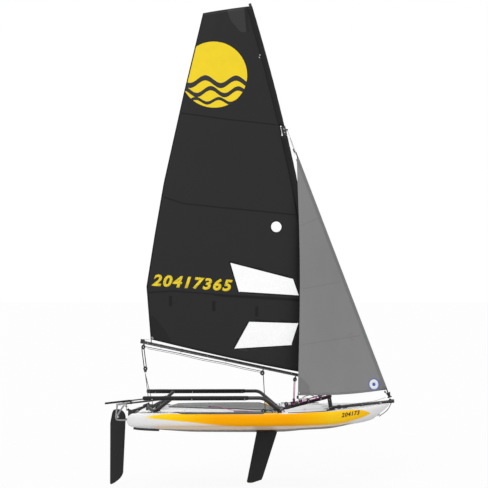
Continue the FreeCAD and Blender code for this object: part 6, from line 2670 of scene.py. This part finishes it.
@dataclass
class BowGear:
    """The furler's line, tack fittings, halyard, bobstay and bow rings."""

    hull: Hull
    foot: float = 3.6
    head: float = 0.300
    patch: Flat = (1.545, 0.030)

    def build(self) -> None:
        """Makes the bow's pieces."""
        self.rest = hinge_turn("jib_swing", JIB_REST)
        self.furler()
        self.halyard()
        self.rings()

    def furler(self) -> None:
        """The line's turns on the drum, and the jib's tack fittings."""
        wraps = Shape()
        for step, gone in enumerate((3.634, 3.639, 3.644, 3.649, 3.654)):
            wraps.ring(on_stay(gone + 0.022), STAY_DOWN, 0.0205 + 0.0006 * (step % 2), 0.0026, 0, 28)
        wraps.moved(self.rest).piece("furler_wraps", Body.JIB, [BLACK_ROPE])
        foot = on_stay(self.foot)
        place = on_stay(self.foot, 0.030)
        tack = Shape()
        tack.ring(place - STAY_DOWN * 0.008, PORTWARD, 0.009, 0.0026)
        tack.block(foot + STAY_AFT * 0.034 + STAY_DOWN * 0.022, (0.026, 0.012, 0.018), STAY_DOWN, mark=1)
        tack.moved(self.rest).piece("tack_fittings", Body.JIB, [STEEL, PLASTIC], Slot.FITTING, ease=0.001)
        line = [
            place + STAY_DOWN * 0.002, foot + STAY_AFT * 0.026 + STAY_DOWN * 0.022,
            foot + STAY_AFT * 0.014 + STAY_DOWN * 0.042,
        ]
        rope("tack_line", line, 0.004, GREY_ROPE, Body.JIB, self.rest)

    def halyard(self) -> None:
        """The jib's head fitting, and the two parts of its halyard."""
        head, upper = on_stay(self.head), on_stay(0.090)
        gear = Shape()
        gear.block(head + STAY_AFT * 0.016 - STAY_DOWN * 0.034, (0.052, 0.016, 0.016), STAY_DOWN)
        gear.ring(head + STAY_AFT * 0.022 + STAY_DOWN * 0.014, PORTWARD, 0.009, 0.0026, 1)
        gear.moved(self.rest).piece("jib_head_fitting", Body.JIB, [PLASTIC, STEEL], Slot.FITTING, ease=0.001)
        for number, off in enumerate((0.010, -0.010)):
            route = [
                upper + PORTWARD * (off * 0.6) + STAY_AFT * 0.006,
                upper.lerp(head, 0.5) + PORTWARD * off + STAY_AFT * 0.010,
                head + STAY_AFT * 0.014 + PORTWARD * (off * 0.5),
            ]
            rope(f"jib_halyard_{number}", route, 0.004, WHITE_ROPE, Body.JIB, self.rest)

    def rings(self) -> None:
        """The bobstay with its patch under the bow, the rings, and the furling line."""
        rope("bobstay", [(1.722, 0.0, 0.286), (1.668, 0.0, 0.190), (1.560, 0.0, 0.108)], 0.010, BLACK_ROPE)
        shape = Shape()
        x, radius = self.patch
        disc = [(radius, 0), (radius, 0.002), (radius * 0.7, 0.004), (0.006, 0.006)]
        shape.turned(disc, (x, 0, self.hull.keel_level(x, 0.0) - 0.0005), (0.5, 0, -1), 24)
        for side in (1, -1):
            shape.ring((1.575, side * 0.035, 0.282), PORTWARD, 0.011, 0.0024, 1)
        shape.piece("bow_rings", Body.HULL, [TAPE_GREY, STEEL], Slot.FITTING)
        rope("furling_line", [
            (1.648, 0.010, 0.352), (1.50, 0.022, 0.306), (1.25, 0.024, 0.272), (1.00, 0.050, 0.244),
            (0.85, 0.072, 0.250), (0.60, 0.060, 0.270), (0.42, 0.050, 0.232),
        ], 0.004, BLACK_ROPE)


@dataclass
class DeckLines:
    """The loose tail of the mainsheet that lies across the deck."""

    hull: Hull
    thick: float = 0.007
    block: Point = (0.028, -0.030, 0.140)
    lay: tuple[Flat, ...] = (
        (-0.010, 0.03), (-0.045, 0.120), (-0.072, 0.215), (-0.110, 0.275), (-0.180, 0.292), (-0.262, 0.300),
        (-0.300, 0.350), (-0.345, 0.385), (-0.420, 0.405), (-0.470, 0.450), (-0.520, 0.495), (-0.575, 0.505),
        (-0.630, 0.500),
    )

    def route(self) -> list[tuple[float, ...]]:
        """The tail's path from the block, over the deck and its pads.

        Returns:
            The path's points.
        """
        line = bpy.data.curves.new("mainsheet_tail_line", "CURVE")
        line.dimensions = "3D"
        spline = line.splines.new("NURBS")
        spline.points.add(len(self.lay))
        for point, (x, y, z) in zip(spline.points, [self.block, *((x, y, 0.0) for x, y in self.lay)]):
            padded = (0.056 < y < 0.315 and x > -0.33) or y > 0.40
            level = self.hull.deck_level(x, y) + (0.0128 if padded else 0.0005) + self.thick / 2
            point.co = (x, y, max(z, level), 1.0)
        spline.order_u, spline.use_endpoint_u = 3, True
        spline.resolution_u = 8
        holder = link(bpy.data.objects.new("mainsheet_tail_line", line))
        path = [tuple(corner.co) for corner in evaluated(holder).vertices]
        bpy.data.objects.remove(holder)
        return path

    def build(self) -> None:
        """Makes the tail and its knot."""
        path = self.route()
        shape = Shape()
        shape.tube(path, self.thick / 2, 10)
        tail = shape.piece("mainsheet_tail", Body.HULL, [PINK_ROPE])
        end, size = Vector(path[-1]), 0.0075
        knot = Shape()
        knot.tube([end + Vector((
            -0.006 + 0.007 * math.sin(TURN * t) - 0.004 * t,
            size * math.cos(2 * TURN * t), 0.004 + size * math.sin(2 * TURN * t),
        )) for t in spaced(0.0, 1.0, 48)], self.thick / 2 * 0.95, 10)
        knotted = knot.piece("mainsheet_knot", Body.HULL, [PINK_ROPE])


# ---------------------------------------------------------------- studio


@dataclass
class Studio:
    """A plain pale floor under the blades, soft lamps and the camera."""

    floor_level: float = -0.755
    floor_reach: float = 400.0
    floor_white: float = 0.93
    camera_place: Point = (-0.7556, -17.6, 1.6899)
    heading: float = 0.03186
    pitch: float = 0.03719
    lens: float = 99.97
    suns: tuple[tuple[str, float, float, Point], ...] = (
        # name, strength, angle, direction
        ("key", 1.55, 0.6, (0.30, 0.70, -0.80)), ("back", 1.35, 0.9, (0.15, -0.50, -1.0)),
        ("fill", 0.5, 1.2, (-0.9, 0.6, -0.35)),
    )

    def seen(self, tree: Tree) -> Socket:
        """1 where a ray comes from the camera, from gloss or through clear film, else 0.

        Args:
            tree: The nodes.

        Returns:
            The output.
        """
        path = tree.nodes.new("ShaderNodeLightPath")
        socket = path.outputs["Is Camera Ray"]
        for name in ("Is Glossy Ray", "Is Transmission Ray"):
            larger = tree.nodes.new("ShaderNodeMath")
            larger.operation = "MAXIMUM"
            tree.links.new(socket, larger.inputs[0])
            tree.links.new(path.outputs[name], larger.inputs[1])
            socket = larger.outputs[0]
        return socket

    def shader(self, tree: Tree, kind: str, colour: Colour, strength: Optional[float]) -> Socket:
        """A shader of one colour, and of a strength where it has one.

        Args:
            tree: The nodes.
            kind: Its type.
            colour: Its colour.
            strength: Its strength, or None.

        Returns:
            The output.
        """
        made = tree.nodes.new(kind)
        made.inputs["Color"].default_value = (*colour, 1.0)
        if strength is not None:
            made.inputs["Strength"].default_value = strength
        return made.outputs[0]

    def finish(self, tree: Tree, output: str, share: Socket, dull: Socket, bright: Socket) -> None:
        """Ends a tree in a mix of two shaders.

        Args:
            tree: The nodes.
            output: The type of the last node.
            share: The share of the second shader.
            dull: The first shader.
            bright: The second shader.
        """
        both = tree.nodes.new("ShaderNodeMixShader")
        for socket, value in zip(both.inputs, (share, dull, bright)):
            tree.links.new(value, socket)
        tree.links.new(both.outputs[0], tree.nodes.new(output).inputs["Surface"])

    def floor(self) -> None:
        """The floor, pale from the camera and plain to the lamps."""
        mesh = bpy.data.meshes.new("studio_floor")
        corners = ((-1, -1), (1, -1), (1, 1), (-1, 1))
        points = [(self.floor_reach * x, self.floor_reach * y, self.floor_level) for x, y in corners]
        mesh.from_pydata(points, [], [(0, 1, 2, 3)])
        material = bpy.data.materials.new("studio_floor")
        material.use_nodes = True
        tree = material.node_tree
        tree.nodes.clear()
        share = tree.nodes.new("ShaderNodeMath")
        share.operation = "MULTIPLY"
        share.inputs[1].default_value = self.floor_white
        tree.links.new(self.seen(tree), share.inputs[0])
        plain = self.shader(tree, "ShaderNodeBsdfDiffuse", (0.60, 0.60, 0.61), None)
        glow = self.shader(tree, "ShaderNodeEmission", (1, 1, 1), 1.0)
        self.finish(tree, "ShaderNodeOutputMaterial", share.outputs[0], plain, glow)
        mesh.materials.append(material)
        link(bpy.data.objects.new("studio_floor", mesh))

    def world(self) -> None:
        """White behind the boat, and a plain grey that lights it."""
        world = bpy.data.worlds.new("studio")
        bpy.context.scene.world = world
        world.use_nodes = True
        tree = world.node_tree
        tree.nodes.clear()
        dull, bright = [self.shader(tree, "ShaderNodeBackground", (1, 1, 1), light) for light in (0.50, 1.0)]
        self.finish(tree, "ShaderNodeOutputWorld", self.seen(tree), dull, bright)

    def lamps(self) -> None:
        """A soft key from the left, one from above and behind the boat, and a weak fill from the right."""
        for name, strength, angle, way in self.suns:
            lamp = bpy.data.lights.new(name, "SUN")
            lamp.energy, lamp.angle = strength, angle
            holder = link(bpy.data.objects.new(name, lamp))
            holder.rotation_euler = Vector(way).to_track_quat("-Z", "Y").to_euler()

    def camera(self) -> None:
        """The camera at the boat's starboard side."""
        camera = bpy.data.cameras.new("camera")
        camera.lens, camera.sensor_width = self.lens, 36.0
        camera.clip_end = 2000
        level = math.cos(self.pitch)
        forward = (math.sin(self.heading) * level, math.cos(self.heading) * level, math.sin(self.pitch))
        holder = link(bpy.data.objects.new("camera", camera))
        holder.location = self.camera_place
        holder.rotation_euler = Vector(forward).to_track_quat("-Z", "Y").to_euler()
        bpy.context.scene.camera = holder

    def build(self) -> None:
        """Sets the studio up."""
        self.camera()
        self.floor()
        self.world()
        self.lamps()
        bpy.context.scene.view_settings.view_transform = "Standard"


def main() -> None:
    """Builds the studio and every sub-assembly in order."""
    logging.basicConfig(level=logging.INFO, format="%(message)s")
    Studio().build()
    hull = Hull()
    DeckLines(hull).build()
    hull.build()
    DeckPads(hull).build()
    TubeFrame(hull).build()
    for side in Side:
        RackSleeve(side).build()
    dress("mast_lower mast_upper boom luff_foil", SPAR)
    dress("hounds_bracket gooseneck boom_end furler_drum", PLASTIC, ease=0.0012)
    dress("forestay", STAY_STEEL)
    sail = Mainsail().build()
    Jib().build()
    gear = BoomGear()
    gear.build(sail)
    Mainsheet(gear, hull).build(sail.rest)
    Vang(gear).build(sail.rest)
    StrutTackle().build()
    BowGear(hull).build()
    Daggerboard().build()
    Rudder().build()


if __name__ == "__main__":
    main()
